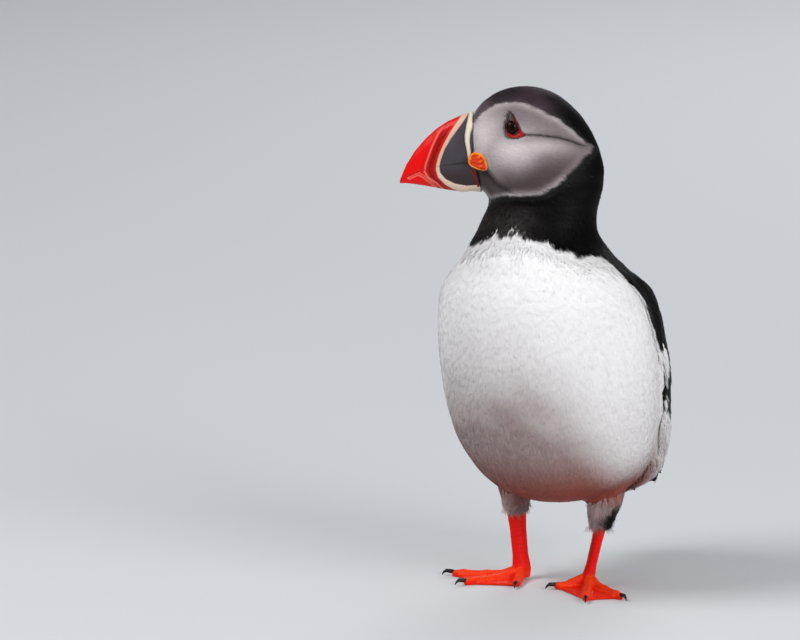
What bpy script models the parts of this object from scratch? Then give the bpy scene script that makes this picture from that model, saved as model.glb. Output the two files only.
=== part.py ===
"""An Atlantic puffin at life size, standing upright with its head turned to its right.

Run it with blender --background --python part.py, or from Blender's text editor.
Metres, +Z up. The breast faces -Y and the bird's left side is +X. The soles stand at z = 0.
"""

import math
from collections import namedtuple

import bmesh
import bpy
from mathutils import Matrix, Vector

# ---------------------------------------------------------------- driving dimensions

MM = 0.001
GAP = 0.3 * MM  # between neighbouring solids
SIDES = 30  # round the body
HEAD_TURN = math.radians(63)  # the head looks this far round to the bird's right
NECK_AXIS = Vector((0, -13, 0)) * MM  # the upright line that the head turns about
FORE = Vector((-math.sin(HEAD_TURN), -math.cos(HEAD_TURN), 0))  # where the bill points
LEFT = Vector((math.cos(HEAD_TURN), -math.sin(HEAD_TURN), 0))  # the head's own left side
UP = Vector((0, 0, 1))

EYE_RADIUS = 4.6 * MM
EYE_AT = (14.4, 13.0, 223.6)  # forward, to the side, up
ROSETTE_AT = (31.0, 8.9, 205.6)
ROSETTE_SIZE = (1.9, 4.4, 3.9)  # half its thickness, length and height
ROSETTE_TURN = math.radians(22)  # it faces this far forward of sideways

TARSUS_WIDTH = 5.0 * MM
TARSUS_DEPTH = 8.2 * MM
WEB_BOTTOM, WEB_TOP = 0.15 * MM, 1.25 * MM
CLAW_LENGTH = 6.5 * MM

COLOURS = {  # base colour, roughness
    "feathers_black": ((0.012, 0.010, 0.011), 0.6),
    "feathers_white": ((0.78, 0.76, 0.75), 0.8),
    "feathers_grey": ((0.42, 0.38, 0.38), 0.8),
    "bill_horn": ((0.72, 0.05, 0.01), 0.3),
    "rosette_skin": ((0.90, 0.28, 0.01), 0.45),
    "leg_skin": ((0.80, 0.07, 0.01), 0.45),
    "claw_horn": ((0.02, 0.018, 0.016), 0.35),
    "eye": ((0.01, 0.006, 0.005), 0.05),
}

# ---------------------------------------------------------------- sections of the body

# One section of the trunk, in mm: where it meets the breast line and the back line, as (y, z)
# in the side view, and its half width. From the tail's root up to the base of the neck.
TRUNK = [
    ((52, 41.5), (68, 49.0), 17.0),
    ((37, 38.8), (67, 58.0), 28.5),
    ((17, 38.8), (65, 68.0), 34.0),
    ((-7, 40.5), (62, 79.0), 38.0),
    ((-27, 46.5), (60, 88.0), 43.0),
    ((-42, 58.5), (58, 98.0), 47.5),
    ((-52, 74.0), (55, 108.0), 50.7),
    ((-57, 92.0), (50, 119.0), 52.2),
    ((-59.5, 111.0), (44, 130.0), 52.6),
    ((-59.5, 128.0), (37, 140.0), 52.2),
    ((-58, 141.0), (30.5, 148.0), 50.0),
    ((-55, 150.5), (24, 154.5), 44.5),
    ((-50.5, 158.5), (16, 161.0), 38.0),
]
FLANK_TUCK = 0.1  # how much narrower the back is than the breast, where the wings lie

# One section of the neck or head, in mm, all level: its height, how far it reaches behind and
# in front of the neck's axis along the bill's direction, its half width, how much it narrows
# towards the bill, and how far it shifts to the head's left, which is over the breast.
NECK_AND_HEAD = [
    (163.7, 30.9, 36.7, 31.5, 0.0, 3.7),
    (167.0, 28.0, 34.2, 29.4, 0.0, 3.2),
    (172.3, 25.2, 31.2, 26.8, 0.0, 2.4),
    (178.0, 24.9, 28.8, 25.0, 0.0, 1.2),
    (183.6, 25.6, 25.8, 23.6, 0.0, 0.3),
    (187.5, 27.4, 25.6, 23.0, 0.1, 0.0),
    (191.5, 28.6, 29.4, 22.6, 0.2, 0.0),
    (197.0, 28.9, 32.0, 22.0, 0.26, 0.0),
    (203.5, 27.8, 34.8, 21.4, 0.28, 0.0),
    (211.0, 25.8, 35.8, 20.6, 0.28, 0.0),
    (219.0, 22.2, 35.4, 19.3, 0.25, 0.0),
    (226.0, 17.6, 33.6, 17.2, 0.2, 0.0),
    (231.6, 12.2, 29.4, 14.2, 0.1, 0.0),
    (235.6, 7.0, 24.4, 10.8, 0.05, 0.0),
    (238.2, 1.6, 19.2, 7.0, 0.0, 0.0),
    (239.6, -4.0, 13.2, 3.0, 0.0, 0.0),
    (239.9, -7.4, 10.0, 1.0, 0.0, 0.0),
]
STEPS = 2  # rings made from each section to the next

# The folded left wing, in mm, from the wrist to the tip: a point on its middle line, half its
# width and half its thickness.
WING = [
    ((37.0, -16, 148.5), 3, 1.2),
    ((40.5, -8, 145), 10.5, 3.6),
    ((42.8, 4, 135.5), 17, 5.0),
    ((42.0, 18, 120), 22, 5.4),
    ((37.5, 32, 102), 24, 5.4),
    ((30.0, 44.5, 82), 21, 5.0),
    ((21.6, 55.5, 63), 15, 4.0),
    ((15.0, 65.5, 48), 8.5, 2.7),
    ((12.0, 73, 38), 3.0, 1.4),
]
WING_CURL = 50 * MM  # radius of the body that the wing wraps round

# The tail's middle line, in mm: (y, z), half its width and half its thickness.
TAIL = [
    ((42, 66), 9, 2.6),
    ((53, 55.5), 11.5, 2.4),
    ((63, 46.5), 14, 2.0),
    ((72, 39.0), 13.5, 1.5),
    ((77, 35.4), 7.5, 1.1),
]

# One section of the bill, in mm: how far forward of the neck's axis it is, then the heights of
# its ridge, mouth line and lower edge, and half its width at the mouth.
BILL = [
    (27.0, 230.5, 205.4, 190.0, 7.8),
    (33.0, 227.4, 205.2, 190.8, 7.6),
    (38.2, 226.0, 204.4, 190.2, 7.1),
    (44.0, 223.4, 203.6, 191.0, 6.4),
    (49.4, 219.8, 202.6, 192.0, 5.5),
    (54.4, 215.2, 201.3, 192.9, 4.5),
    (59.4, 209.3, 199.2, 193.7, 3.3),
    (63.4, 202.8, 197.0, 194.2, 2.1),
    (66.4, 195.6, 194.7, 194.1, 0.8),
]
BILL_RIDGE = 0.2  # the ridge's width as a share of the width at the mouth

# The legs, in mm: the ankle, the top of the bare shank and the heart of the thigh. For each
# toe, its direction in degrees from straight ahead to the bird's left, and its whole length.
LEGS = {
    "left": ((13.2, 8, 5), (17.6, 11.5, 29), (21.6, 13.4, 46)),
    "right": ((-21.6, 8, 5), (-24.4, 8, 33), (-24.9, 9, 48)),
}
TOES = {
    "left": {"inner": (-42, 23), "middle": (24, 38), "outer": (55, 38)},
    "right": {"inner": (18, 24), "middle": (-37, 36), "outer": (-73, 39)},
}
WEB_NOTCH = 0.72  # how far out the web reaches between two toes

# ---------------------------------------------------------------- helpers

Ring = namedtuple(
    "Ring",
    "centre fore side reach_fore reach_back half_width narrow_fore narrow_back turn",
)


def fresh_scene():
    for obj in list(bpy.data.objects):
        bpy.data.objects.remove(obj, do_unlink=True)
    bird = bpy.data.collections.new("atlantic_puffin")
    cutters = bpy.data.collections.new("cutters")
    for collection in (bird, cutters):
        bpy.context.scene.collection.children.link(collection)


def material(slot):
    """A plain Principled material in the slot's colour, made once."""
    if slot in bpy.data.materials:
        return bpy.data.materials[slot]
    made = bpy.data.materials.new(slot)
    made.use_nodes = True
    shader = made.node_tree.nodes["Principled BSDF"]
    colour, roughness = COLOURS[slot]
    shader.inputs["Base Color"].default_value = (*colour, 1)
    shader.inputs["Roughness"].default_value = roughness
    shader.inputs["Metallic"].default_value = 0.0
    return made


def node(name, bm, slot=None):
    """Turns a bmesh into an object: one of the bird's, or a cutter where it has no material."""
    mesh = bpy.data.meshes.new(name)
    bm.to_mesh(mesh)
    bm.free()
    obj = bpy.data.objects.new(name, mesh)
    bpy.data.collections["atlantic_puffin" if slot else "cutters"].objects.link(obj)
    if slot:
        mesh.materials.append(material(slot))
    else:
        obj.hide_render = True
        obj.display_type = "WIRE"
    return obj


def smooth_between(rows, steps=STEPS):
    """Catmull-Rom curves through rows of numbers, with this many steps from row to row."""
    made = []
    for i in range(len(rows) - 1):
        four = [rows[max(i - 1, 0)], rows[i], rows[i + 1], rows[min(i + 2, len(rows) - 1)]]
        for step in range(steps):
            t = step / steps
            weights = (
                -0.5 * t + t * t - 0.5 * t**3,
                1 - 2.5 * t * t + 1.5 * t**3,
                0.5 * t + 2 * t * t - 1.5 * t**3,
                -0.5 * t * t + 0.5 * t**3,
            )
            columns = zip(*four)
            made.append([sum(w * x for w, x in zip(weights, column)) for column in columns])
    return made + [list(rows[-1])]


def bridged(loops_of_points):
    """A closed skin over rings that all hold as many points, capped at both ends."""
    bm = bmesh.new()
    rings = [[bm.verts.new(p) for p in loop] for loop in loops_of_points]
    for low, high in zip(rings, rings[1:]):
        for i in range(len(low)):
            k = (i + 1) % len(low)
            bm.faces.new((low[i], low[k], high[k], high[i]))
    for end in (rings[0], rings[-1]):
        bm.faces.new(end)
    bmesh.ops.recalc_face_normals(bm, faces=bm.faces)
    return bm


def swept(rows, outward, sides, steps=STEPS, curl=None):
    """Ellipses along a smooth line, given in mm as (x, y, z, half width, half thickness).

    The thickness points the way that outward gives at each place. With a curl, the width
    bends round a cylinder of that radius.
    """
    rows = smooth_between(rows, steps)
    middle = [Vector(row[:3]) * MM for row in rows]
    loops = []
    for i, (_, _, _, half_width, half_thickness) in enumerate(rows):
        along = (middle[min(i + 1, len(rows) - 1)] - middle[max(i - 1, 0)]).normalized()
        out = outward(middle[i])
        normal = (out - along * out.dot(along)).normalized()
        chord = along.cross(normal)
        loop = []
        for k in range(sides):
            angle = math.tau * k / sides
            across = math.cos(angle) * half_width * MM
            rise = math.sin(angle) * half_thickness * MM
            rise -= across**2 / (2 * curl) if curl else 0
            loop.append(middle[i] + chord * across + normal * rise)
        loops.append(loop)
    return bridged(loops)


def boolean(target, cutter, operation):
    """Applies a Boolean with the cutter, removes the cutter and welds what is left."""
    modifier = target.modifiers.new(operation.lower(), "BOOLEAN")
    modifier.operation = operation
    modifier.solver = "EXACT"
    modifier.use_self = True
    modifier.object = cutter
    graph = bpy.context.evaluated_depsgraph_get()
    mesh = bpy.data.meshes.new_from_object(target.evaluated_get(graph))
    target.modifiers.clear()
    target.data = mesh
    bpy.data.objects.remove(cutter, do_unlink=True)
    bm = bmesh.new()
    bm.from_mesh(mesh)
    bmesh.ops.remove_doubles(bm, verts=bm.verts, dist=0.02 * MM)
    bmesh.ops.dissolve_degenerate(bm, edges=bm.edges, dist=0.02 * MM)
    bm.to_mesh(mesh)
    bm.free()
    return target


def grown(obj, amount=GAP):
    """A copy of obj whose surface stands out by this much, to cut neighbours with."""
    bm = bmesh.new()
    bm.from_mesh(obj.data)
    bmesh.ops.remove_doubles(bm, verts=bm.verts, dist=0.02 * MM)
    bm.normal_update()
    moves = [v.normal * amount for v in bm.verts]
    for v, move in zip(bm.verts, moves):
        v.co += move
    return node(obj.name + "_grown", bm)


def fitted(obj, neighbours):
    """Cuts obj back to a gap from each of its neighbours."""
    for name in neighbours:
        boolean(obj, grown(bpy.data.objects[name]), "DIFFERENCE")
    return obj


def kept_side(obj, name, point, normal, slot):
    """What lies on the normal's side of a plane, half a gap back from it, as an object."""
    bm = bmesh.new()
    bm.from_mesh(obj.data)
    cut = bmesh.ops.bisect_plane(
        bm,
        geom=bm.verts[:] + bm.edges[:] + bm.faces[:],
        dist=1e-6,
        plane_co=point + normal * GAP / 2,
        plane_no=normal,
        clear_inner=True,
    )
    rim = [e for e in cut["geom_cut"] if isinstance(e, bmesh.types.BMEdge)]
    bmesh.ops.edgeloop_fill(bm, edges=rim)
    bmesh.ops.recalc_face_normals(bm, faces=bm.faces)
    return node(name, bm, slot)


def in_head(forward, side, height):
    """A point given in mm along the head's own directions."""
    return NECK_AXIS + (FORE * forward + LEFT * side) * MM + UP * height * MM


def ellipsoid(name, centre, half_sizes, slot, turn):
    """A UV sphere of these half sizes, turned by a matrix and set at its centre."""
    bm = bmesh.new()
    bmesh.ops.create_uvsphere(bm, u_segments=14, v_segments=9, radius=1)
    shape = turn @ Matrix.Diagonal((*half_sizes, 1))
    bmesh.ops.transform(bm, matrix=Matrix.Translation(centre) @ shape, verts=bm.verts)
    return node(name, bm, slot)


# ---------------------------------------------------------------- body: trunk, neck and head


def oval(ring):
    """The points of one section. Point 0 faces the breast, whichever way the ring is turned."""
    points = []
    for i in range(SIDES):
        angle = math.tau * i / SIDES + ring.turn
        along, across = math.cos(angle), math.sin(angle)
        reach = ring.reach_fore if along > 0 else ring.reach_back
        narrowing = ring.narrow_fore * max(along, 0) + ring.narrow_back * max(-along, 0)
        width = ring.half_width * (1 - narrowing)
        points.append(ring.centre + ring.fore * along * reach + ring.side * across * width)
    return points


def trunk_ring(row):
    front, back = Vector((0, *row[0:2])) * MM, Vector((0, *row[2:4])) * MM
    reach = (front - back).length / 2
    fore = (front - back).normalized()
    side = Vector((1, 0, 0))
    return Ring((front + back) / 2, fore, side, reach, reach, row[4] * MM, 0, FLANK_TUCK, 0)


def head_ring(row):
    height, behind, ahead, half_width, narrowing, shift = row
    centre = in_head((ahead - behind) / 2, shift, height)
    reach = (ahead + behind) / 2 * MM
    return Ring(centre, FORE, LEFT, reach, reach, half_width * MM, narrowing, 0, HEAD_TURN)


def whole_body():
    """Trunk, neck and head as one loft, which is then parted."""
    trunk_rows = smooth_between([(*front, *back, width) for front, back, width in TRUNK])
    trunk = [oval(trunk_ring(row)) for row in trunk_rows]
    head = [oval(head_ring(row)) for row in NECK_AND_HEAD]
    join = [a.lerp(b, 0.5) for a, b in zip(trunk[-1], head[0])]
    return node("body", bridged(trunk + [join] + head))


def part_body(body):
    """Parts the whole body into head, neck and trunk along two thin gaps."""
    nape = in_head(-26, 0, 198)
    chin = in_head(24, 0, 186.5)
    across_head = LEFT.cross(nape - chin).normalized()
    collar = Vector((0, -53, 156.5)) * MM
    across_neck = Vector((0, -0.06, 1)).normalized()
    kept_side(body, "head", chin, across_head, "feathers_grey")
    lower = kept_side(body, "lower", chin, -across_head, "feathers_black")
    kept_side(lower, "neck", collar, across_neck, "feathers_black")
    kept_side(lower, "trunk", collar, -across_neck, "feathers_white")
    bpy.data.objects.remove(lower, do_unlink=True)
    bpy.data.objects.remove(body, do_unlink=True)


# ---------------------------------------------------------------- wings and tail


def wing(side):
    """A folded wing: a blade that wraps round the trunk, with its inner half sunk in it."""
    rows = [(*point, width, thickness) for point, width, thickness in WING]
    bm = swept(rows, lambda at: Vector((at.x, at.y, 0)), 16, curl=WING_CURL)
    if side == "right":
        bmesh.ops.scale(bm, vec=(-1, 1, 1), verts=bm.verts)
        bmesh.ops.reverse_faces(bm, faces=bm.faces)
    return fitted(node("wing_" + side, bm, "feathers_black"), ["body"])


def tail():
    """The short tail, a rounded fan that is thin at its edge."""
    rows = [(0, *point, width, thickness) for point, width, thickness in TAIL]
    made = node("tail", swept(rows, lambda at: Vector((0, 0.66, 0.75)), 14), "feathers_black")
    return fitted(made, ["body", "wing_left", "wing_right"])


# ---------------------------------------------------------------- bill, eyes and rosettes


def bill_half(name, upper):
    """The upper or lower half of the bill: a thin wedge with a flat side at the mouth."""
    loops = []
    for forward, ridge, mouth, lower_edge, half_width in BILL:
        lift = GAP / MM / 2
        start = mouth + lift if upper else mouth - lift
        end = ridge if upper else lower_edge
        loop = []
        for i in range(13):
            angle = math.pi * i / 12
            rise = math.sin(angle)
            width = half_width * math.cos(angle) * (BILL_RIDGE * rise + (1 - BILL_RIDGE * rise) * 0.92)
            loop.append(in_head(forward, width, start + (end - start) * rise**0.85))
        loops.append(loop)
    return fitted(node(name, bridged(loops), "bill_horn"), ["body"])


def face_part(kind, side, place, half_sizes, slot, neighbours):
    """An eye or a rosette, mirrored in the head's own middle plane."""
    flip = 1 if side == "left" else -1
    forward, out, height = place
    turn = Matrix.Rotation(-HEAD_TURN + flip * ROSETTE_TURN, 4, "Z")
    centre = in_head(forward, flip * out, height)
    made = ellipsoid(kind + "_" + side, centre, half_sizes, slot, turn)
    return fitted(made, neighbours)


# ---------------------------------------------------------------- legs and feet


def heading(degrees):
    """The level direction at this angle from straight ahead, to the bird's left."""
    angle = math.radians(degrees)
    return Vector((math.sin(angle), -math.cos(angle), 0))


def web(ankle, toes):
    """The thin skin that joins the toes, with a notched edge from each toe to the next."""
    base = Vector((ankle.x, ankle.y, 0))
    outline = [base - heading(toes["middle"][0]) * 1.5 * MM]
    for first, second in (("inner", "middle"), ("middle", "outer")):
        (turn_a, long_a), (turn_b, long_b) = toes[first], toes[second]
        start = base + heading(turn_a) * (long_a - 7.5) * MM
        end = base + heading(turn_b) * (long_b - 7.5) * MM
        notch = base + heading((turn_a + turn_b) / 2) * WEB_NOTCH * min(long_a, long_b) * MM
        for i in range(8):
            t = i / 8
            outline.append(start * (1 - t) ** 2 + notch * 2 * t * (1 - t) + end * t * t)
    outline.append(end)
    bm = bridged([[p + UP * z for p in outline] for z in (WEB_BOTTOM, WEB_TOP)])
    bmesh.ops.triangulate(bm, faces=bm.faces)
    return bm


def leg_and_foot(side):
    """Shank and foot as one body, which is then parted at the ankle."""
    ankle, top, _ = (Vector(point) * MM for point in LEGS[side])
    toes = TOES[side]
    forward = heading(toes["middle"][0])
    half_width, half_depth = TARSUS_WIDTH / MM / 2, TARSUS_DEPTH / MM / 2
    inside = ankle.lerp(top, 1.2)
    rows = [
        (*(ankle / MM - UP * 4.0), half_width * 1.1, half_depth * 1.05),
        (*(ankle / MM), half_width * 1.2, half_depth * 1.15),
        (*(ankle.lerp(top, 0.25) / MM), half_width * 0.95, half_depth * 0.95),
        (*(ankle.lerp(top, 0.7) / MM), half_width, half_depth),
        (*(top / MM), half_width * 1.15, half_depth * 1.2),
        (*(inside / MM), half_width * 1.1, half_depth * 1.1),
    ]
    whole = node("whole_leg", swept(rows, lambda at: forward, 14, 1))
    for degrees, length in toes.values():
        boolean(whole, node("toe", toe(ankle, degrees, length)), "UNION")
    boolean(whole, node("web", web(ankle, toes)), "UNION")
    boolean(whole, node("floor", floor_block()), "DIFFERENCE")
    at = ankle + UP * 2.5 * MM
    kept_side(whole, "foot_" + side, at, -UP, "leg_skin")
    kept_side(whole, "leg_" + side, at, UP, "leg_skin")
    bpy.data.objects.remove(whole, do_unlink=True)
    for name, (degrees, length) in toes.items():
        node(f"claw_{side}_{name}", claw_horn(ankle, degrees, length), "claw_horn")


def floor_block():
    """A block below z = 0, which cuts the soles flat."""
    bm = bmesh.new()
    bmesh.ops.create_cube(bm, size=200 * MM, matrix=Matrix.Translation((0, 0, -100 * MM)))
    return bm


def toe(ankle, degrees, length):
    """One toe, which slopes down from the ankle and then lies along the floor."""
    start, ahead = Vector((ankle.x, ankle.y, 0)) / MM, heading(degrees)
    reach = length - CLAW_LENGTH / MM
    sizes = [(1.2, 3.2, 2.3, 3.5), (4, 2.9, 2.3, 3.2), (9, 1.9, 2.0, 2.2)]
    sizes += [(0.55 * reach, 1.5, 1.9, 1.9), (0.85 * reach, 1.5, 1.9, 1.9)]
    sizes += [(reach - 1, 1.4, 1.7, 1.8), (reach + 0.3, 1.2, 0.9, 1.0)]
    rows = [(*(start + ahead * out + UP * up), wide, high) for out, up, wide, high in sizes]
    return swept(rows, lambda at: UP, 12, 1)


def claw_horn(ankle, degrees, length):
    """A claw that arches forward and down from the end of its toe."""
    start, ahead = Vector((ankle.x, ankle.y, 0)) / MM, heading(degrees)
    sizes = [(5.7, 2.1, 0.8, 0.9), (4.7, 2.5, 1.0, 1.1), (3.0, 2.7, 0.85, 0.95)]
    sizes += [(1.2, 1.9, 0.6, 0.65), (0.0, 0.6, 0.3, 0.3)]
    rows = [(*(start + ahead * (length - back) + UP * up), wide, high) for back, up, wide, high in sizes]
    return swept(rows, lambda at: UP, 8, 1)


def thigh(side):
    """The feathered thigh that hangs below the belly and narrows on to the shank."""
    _, top, heart = (Vector(point) for point in LEGS[side])
    hip = heart.lerp(top, 0.45)
    hip.z = heart.z
    waist = heart.lerp(top, 0.8)
    waist.z = heart.lerp(top, 0.5).z
    rows = [
        (*(hip + UP * 8), 11, 13),
        (*hip, 9.8, 11.2),
        (*waist, 7.8, 9.0),
        (*(top + UP * 2), 5.3, 6.7),
        (*(top - UP * 1.2), 3.7, 4.9),
    ]
    made = node("thigh_" + side, swept(rows, lambda at: Vector((0, -1, 0)), 16), "feathers_white")
    return fitted(made, ["body", "leg_" + side])


# ---------------------------------------------------------------- the bird


def stand_on_centre():
    """Sets the middle of the bird's box over the origin, with its soles still at z = 0."""
    bird = bpy.data.collections["atlantic_puffin"].objects
    points = [v.co for obj in bird for v in obj.data.vertices]
    low = Vector(min(p[k] for p in points) for k in range(3))
    high = Vector(max(p[k] for p in points) for k in range(3))
    middle = (low + high) / 2
    for obj in bird:
        obj.data.transform(Matrix.Translation((-middle.x, -middle.y, -low.z)))


def main():
    fresh_scene()
    body = whole_body()
    for side in ("left", "right"):
        wing(side)
        leg_and_foot(side)
        thigh(side)
    tail()
    for side in ("left", "right"):
        face_part("eye", side, EYE_AT, (EYE_RADIUS,) * 3, "eye", [])
        boolean(body, grown(bpy.data.objects["eye_" + side]), "DIFFERENCE")
    bill_half("bill_upper", True)
    bill_half("bill_lower", False)
    rosette_size = [size * MM for size in ROSETTE_SIZE]
    behind_it = ["body", "bill_upper", "bill_lower"]
    for side in ("left", "right"):
        face_part("rosette", side, ROSETTE_AT, rosette_size, "rosette_skin", behind_it)
    part_body(body)
    stand_on_centre()


main()
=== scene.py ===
# %% [markdown]
# # Atlantic puffin, a standing life-size model
# The bird is made as a museum model maker would think of it: one skin first, then the feathers laid on it
# as small tufts that follow the lie of the plumage, then legs, bill, rosettes, eyes and claws. The solid
# model gives every size and place, so it is loaded first and nothing in it is moved.

import math

import bmesh
import bpy
import numpy as np
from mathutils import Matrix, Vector
from mathutils.bvhtree import BVHTree


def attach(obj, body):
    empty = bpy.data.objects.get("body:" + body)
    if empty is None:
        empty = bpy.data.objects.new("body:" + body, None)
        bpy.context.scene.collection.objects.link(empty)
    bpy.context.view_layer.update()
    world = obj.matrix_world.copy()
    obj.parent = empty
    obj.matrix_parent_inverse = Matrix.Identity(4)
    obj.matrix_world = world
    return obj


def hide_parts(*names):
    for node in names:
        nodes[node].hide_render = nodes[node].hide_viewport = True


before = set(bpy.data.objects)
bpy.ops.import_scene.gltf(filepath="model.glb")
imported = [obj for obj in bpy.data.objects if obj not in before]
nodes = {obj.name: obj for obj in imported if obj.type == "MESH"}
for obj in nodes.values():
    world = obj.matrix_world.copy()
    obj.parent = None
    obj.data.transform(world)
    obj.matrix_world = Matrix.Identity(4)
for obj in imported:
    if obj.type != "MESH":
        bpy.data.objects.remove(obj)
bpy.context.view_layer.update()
MM = 0.001
rng = np.random.default_rng(7)

# %% [markdown]
# ## The head's own directions
# The head looks over the right shoulder. Its marks could be placed by the room's directions, but every
# number would then mix two of them, so they are laid out in the head's own three directions instead:
# forward along the bill, out to the left, and up, in millimetres from the neck's upright axis.

# %% The head's own directions
FORWARD = np.array((-0.891, -0.454, 0.0))
LEFT = np.array((0.454, -0.891, 0.0))
UP = np.array((0.0, 0.0, 1.0))
NECK = np.array((3.593, -21.929, 0.0))
EYE = (14.5, 13.7, 223.4)
EYE_RADIUS = 3.6
EYE_MARK = 212.6  # the eye's height as a mark is drawn
SLANT = (0.978, 0.208, 2.41)  # how height and width on the head add up to the height of a mark
STAND = np.array((3.593, -8.929, 0.0))  # the spot between the feet that the body is measured from
MARKS_FROM = STAND.round(1)  # the marks on the body are laid out from it, to the tenth


def on_head(forward, left, up):
    """A place on the head, in metres."""
    return (NECK + FORWARD * forward + LEFT * left + UP * up) * MM


def head_place(points):
    """Forward, out to the side and up, in millimetres, for points in metres."""
    away = points / MM - NECK
    return away @ FORWARD, away @ LEFT, away[..., 2]


def mark_height(left, up):
    """Height of a mark as it is drawn: marks run a little lower where the head is wider."""
    return SLANT[0] * up - SLANT[1] * np.abs(left) - SLANT[2]


print("eye", [round(v / MM, 1) for v in on_head(*EYE)], "mm")

# %% [markdown]
# ## Paint and outlines
# Colours are written the way a paint chart gives them and turned linear in one place. Marks could be
# painted on an image, but then every tuft would need its own place on it. Here they are closed outlines,
# and how far a point lies inside one decides how strongly it takes the mark's colour.

# %% Paint and outlines
def linear(text):
    """Linear red, green and blue from a colour such as #ff8800."""
    value = np.array([int(text[i : i + 2], 16) for i in (1, 3, 5)]) / 255
    return np.where(value <= 0.04045, value / 12.92, ((value + 0.055) / 1.055) ** 2.4)


def eased(low, high, value):
    """0 below low, 1 above high, and a soft step between them."""
    t = np.clip((value - low) / (high - low), 0, 1)
    return t * t * (3 - 2 * t)


def line_distance(line, x, y):
    """Distance from each point to a line through the given places."""
    line = np.asarray(line, float)
    best = np.full(np.shape(x), 1e9)
    for (ax, ay), (bx, by) in zip(line[:-1], line[1:]):
        run = np.array((bx - ax, by - ay))
        t = np.clip(((x - ax) * run[0] + (y - ay) * run[1]) / max(run @ run, 1e-9), 0, 1)
        best = np.minimum(best, np.hypot(x - ax - t * run[0], y - ay - t * run[1]))
    return best


def inside(loop, x, y):
    """How far each point is inside a closed outline; negative outside."""
    loop = np.asarray(loop, float)
    closed = np.vstack([loop, loop[:1]])
    within = np.zeros(np.shape(x), bool)
    for (ax, ay), (bx, by) in zip(closed[:-1], closed[1:]):
        crosses = (ay > y) != (by > y)
        at = ax + (y - ay) * (bx - ax) / np.where(by == ay, 1e-9, by - ay)
        within ^= crosses & (x < at)
    far = line_distance(closed, x, y)
    return np.where(within, far, -far)


def blend(base, colour, amount):
    """Base painted over with a colour by an amount for each point."""
    return base + (np.asarray(colour) - base) * np.asarray(amount)[..., None]


WAVES = [(rng.normal(size=3), rng.uniform(0, 6.28)) for _ in range(10)]


def drift(points, size):
    """Slow unevenness from -1 to 1 over distances of about size millimetres."""
    total = np.zeros(len(points))
    for way, start in WAVES:
        total += np.sin(points / MM @ way * (2.2 / size) + start)
    return total / 3.2


print("a mid grey is", linear("#808080").round(3))

# %% [markdown]
# ## Meshes as arrays
# A mesh can be moved point by point in a loop, but this one has tens of thousands. Its places, normals
# and edges are read into arrays, changed all at once, and written back.

# %% Meshes as arrays
def read(collection, name, width, kind=float):
    """One property of all a mesh's points, edges, loops or triangles, as rows of this width."""
    values = np.empty(len(collection) * width, kind)
    collection.foreach_get(name, values)
    return values.reshape(-1, width)


def arrays(mesh):
    """Places, normals and edges of a mesh as arrays."""
    points = mesh.vertices
    return read(points, "co", 3), read(points, "normal", 3), read(mesh.edges, "vertices", 2, int)


def spread(values, edges, times):
    """Values averaged with their neighbours along the mesh's edges, over and over."""
    many = np.bincount(edges.ravel(), minlength=len(values)).astype(float)
    many = np.maximum(many, 1)
    values = values.astype(float)
    for _ in range(times):
        total = np.empty_like(values)
        for k in range(values.shape[1]):
            column = values[:, k]
            total[:, k] = np.bincount(edges[:, 0], column[edges[:, 1]], len(values))
            total[:, k] += np.bincount(edges[:, 1], column[edges[:, 0]], len(values))
        values = 0.5 * values + 0.5 * total / many[:, None]
    return values


def unit(vectors):
    """The same directions, one unit long."""
    return vectors / np.maximum(np.linalg.norm(vectors, axis=-1, keepdims=True), 1e-9)


def tree_of(mesh):
    """A search tree over a mesh's faces."""
    places = read(mesh.vertices, "co", 3)
    return BVHTree.FromPolygons([tuple(p) for p in places], [tuple(f.vertices) for f in mesh.polygons])


def set_places(mesh, places):
    """Moves a mesh's points to these places."""
    mesh.vertices.foreach_set("co", np.asarray(places, np.float32).ravel())
    mesh.update()


def set_colours(mesh, colours):
    """Paints a colour on every vertex, kept under the name Col."""
    layer = mesh.color_attributes.get("Col") or mesh.color_attributes.new("Col", "FLOAT_COLOR", "POINT")
    full = np.ones((len(mesh.vertices), 4), np.float32)
    full[:, :3] = np.clip(colours, 0, 1)
    layer.data.foreach_set("color", full.ravel())


# %% [markdown]
# ## Workshop steps
# Soft and horny parts start as copies of the solids. Joining them with a boolean would leave a hard
# crease at each joint, so they are grown until they overlap and melted into one closed surface by a
# voxel remesh, which a smooth then evens out. The same few steps serve skin, legs, bill and claws.

# %% Workshop steps
def only(obj):
    """Selects one object alone, as a click on it does."""
    bpy.ops.object.select_all(action="DESELECT")
    obj.select_set(True)
    bpy.context.view_layer.objects.active = obj


def add_object(name, mesh):
    """A new piece in the scene, at the origin."""
    obj = bpy.data.objects.new(name, mesh)
    bpy.context.scene.collection.objects.link(obj)
    return obj


def apply_modifier(obj, kind, **settings):
    """Adds a modifier with these settings and applies it."""
    only(obj)
    modifier = obj.modifiers.new(kind.title(), kind)
    for key, value in settings.items():
        setattr(modifier, key, value)
    bpy.ops.object.modifier_apply(modifier=modifier.name)


def copy_of(names, name, grow=0.0):
    """One object with welded copies of these solids, each grown outwards by grow metres so that they merge."""
    joined = bmesh.new()
    for n in names:
        part = bmesh.new()
        part.from_mesh(nodes[n].data)
        bmesh.ops.remove_doubles(part, verts=part.verts, dist=1e-5)
        bmesh.ops.recalc_face_normals(part, faces=part.faces)
        part.normal_update()
        for vertex, normal in [(v, v.normal.copy()) for v in part.verts]:
            vertex.co += normal * grow
        passed = bpy.data.meshes.new("passed")
        part.to_mesh(passed)
        joined.from_mesh(passed)
        bpy.data.meshes.remove(passed)
        part.free()
    mesh = bpy.data.meshes.new(name)
    joined.to_mesh(mesh)
    joined.free()
    return add_object(name, mesh)


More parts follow.
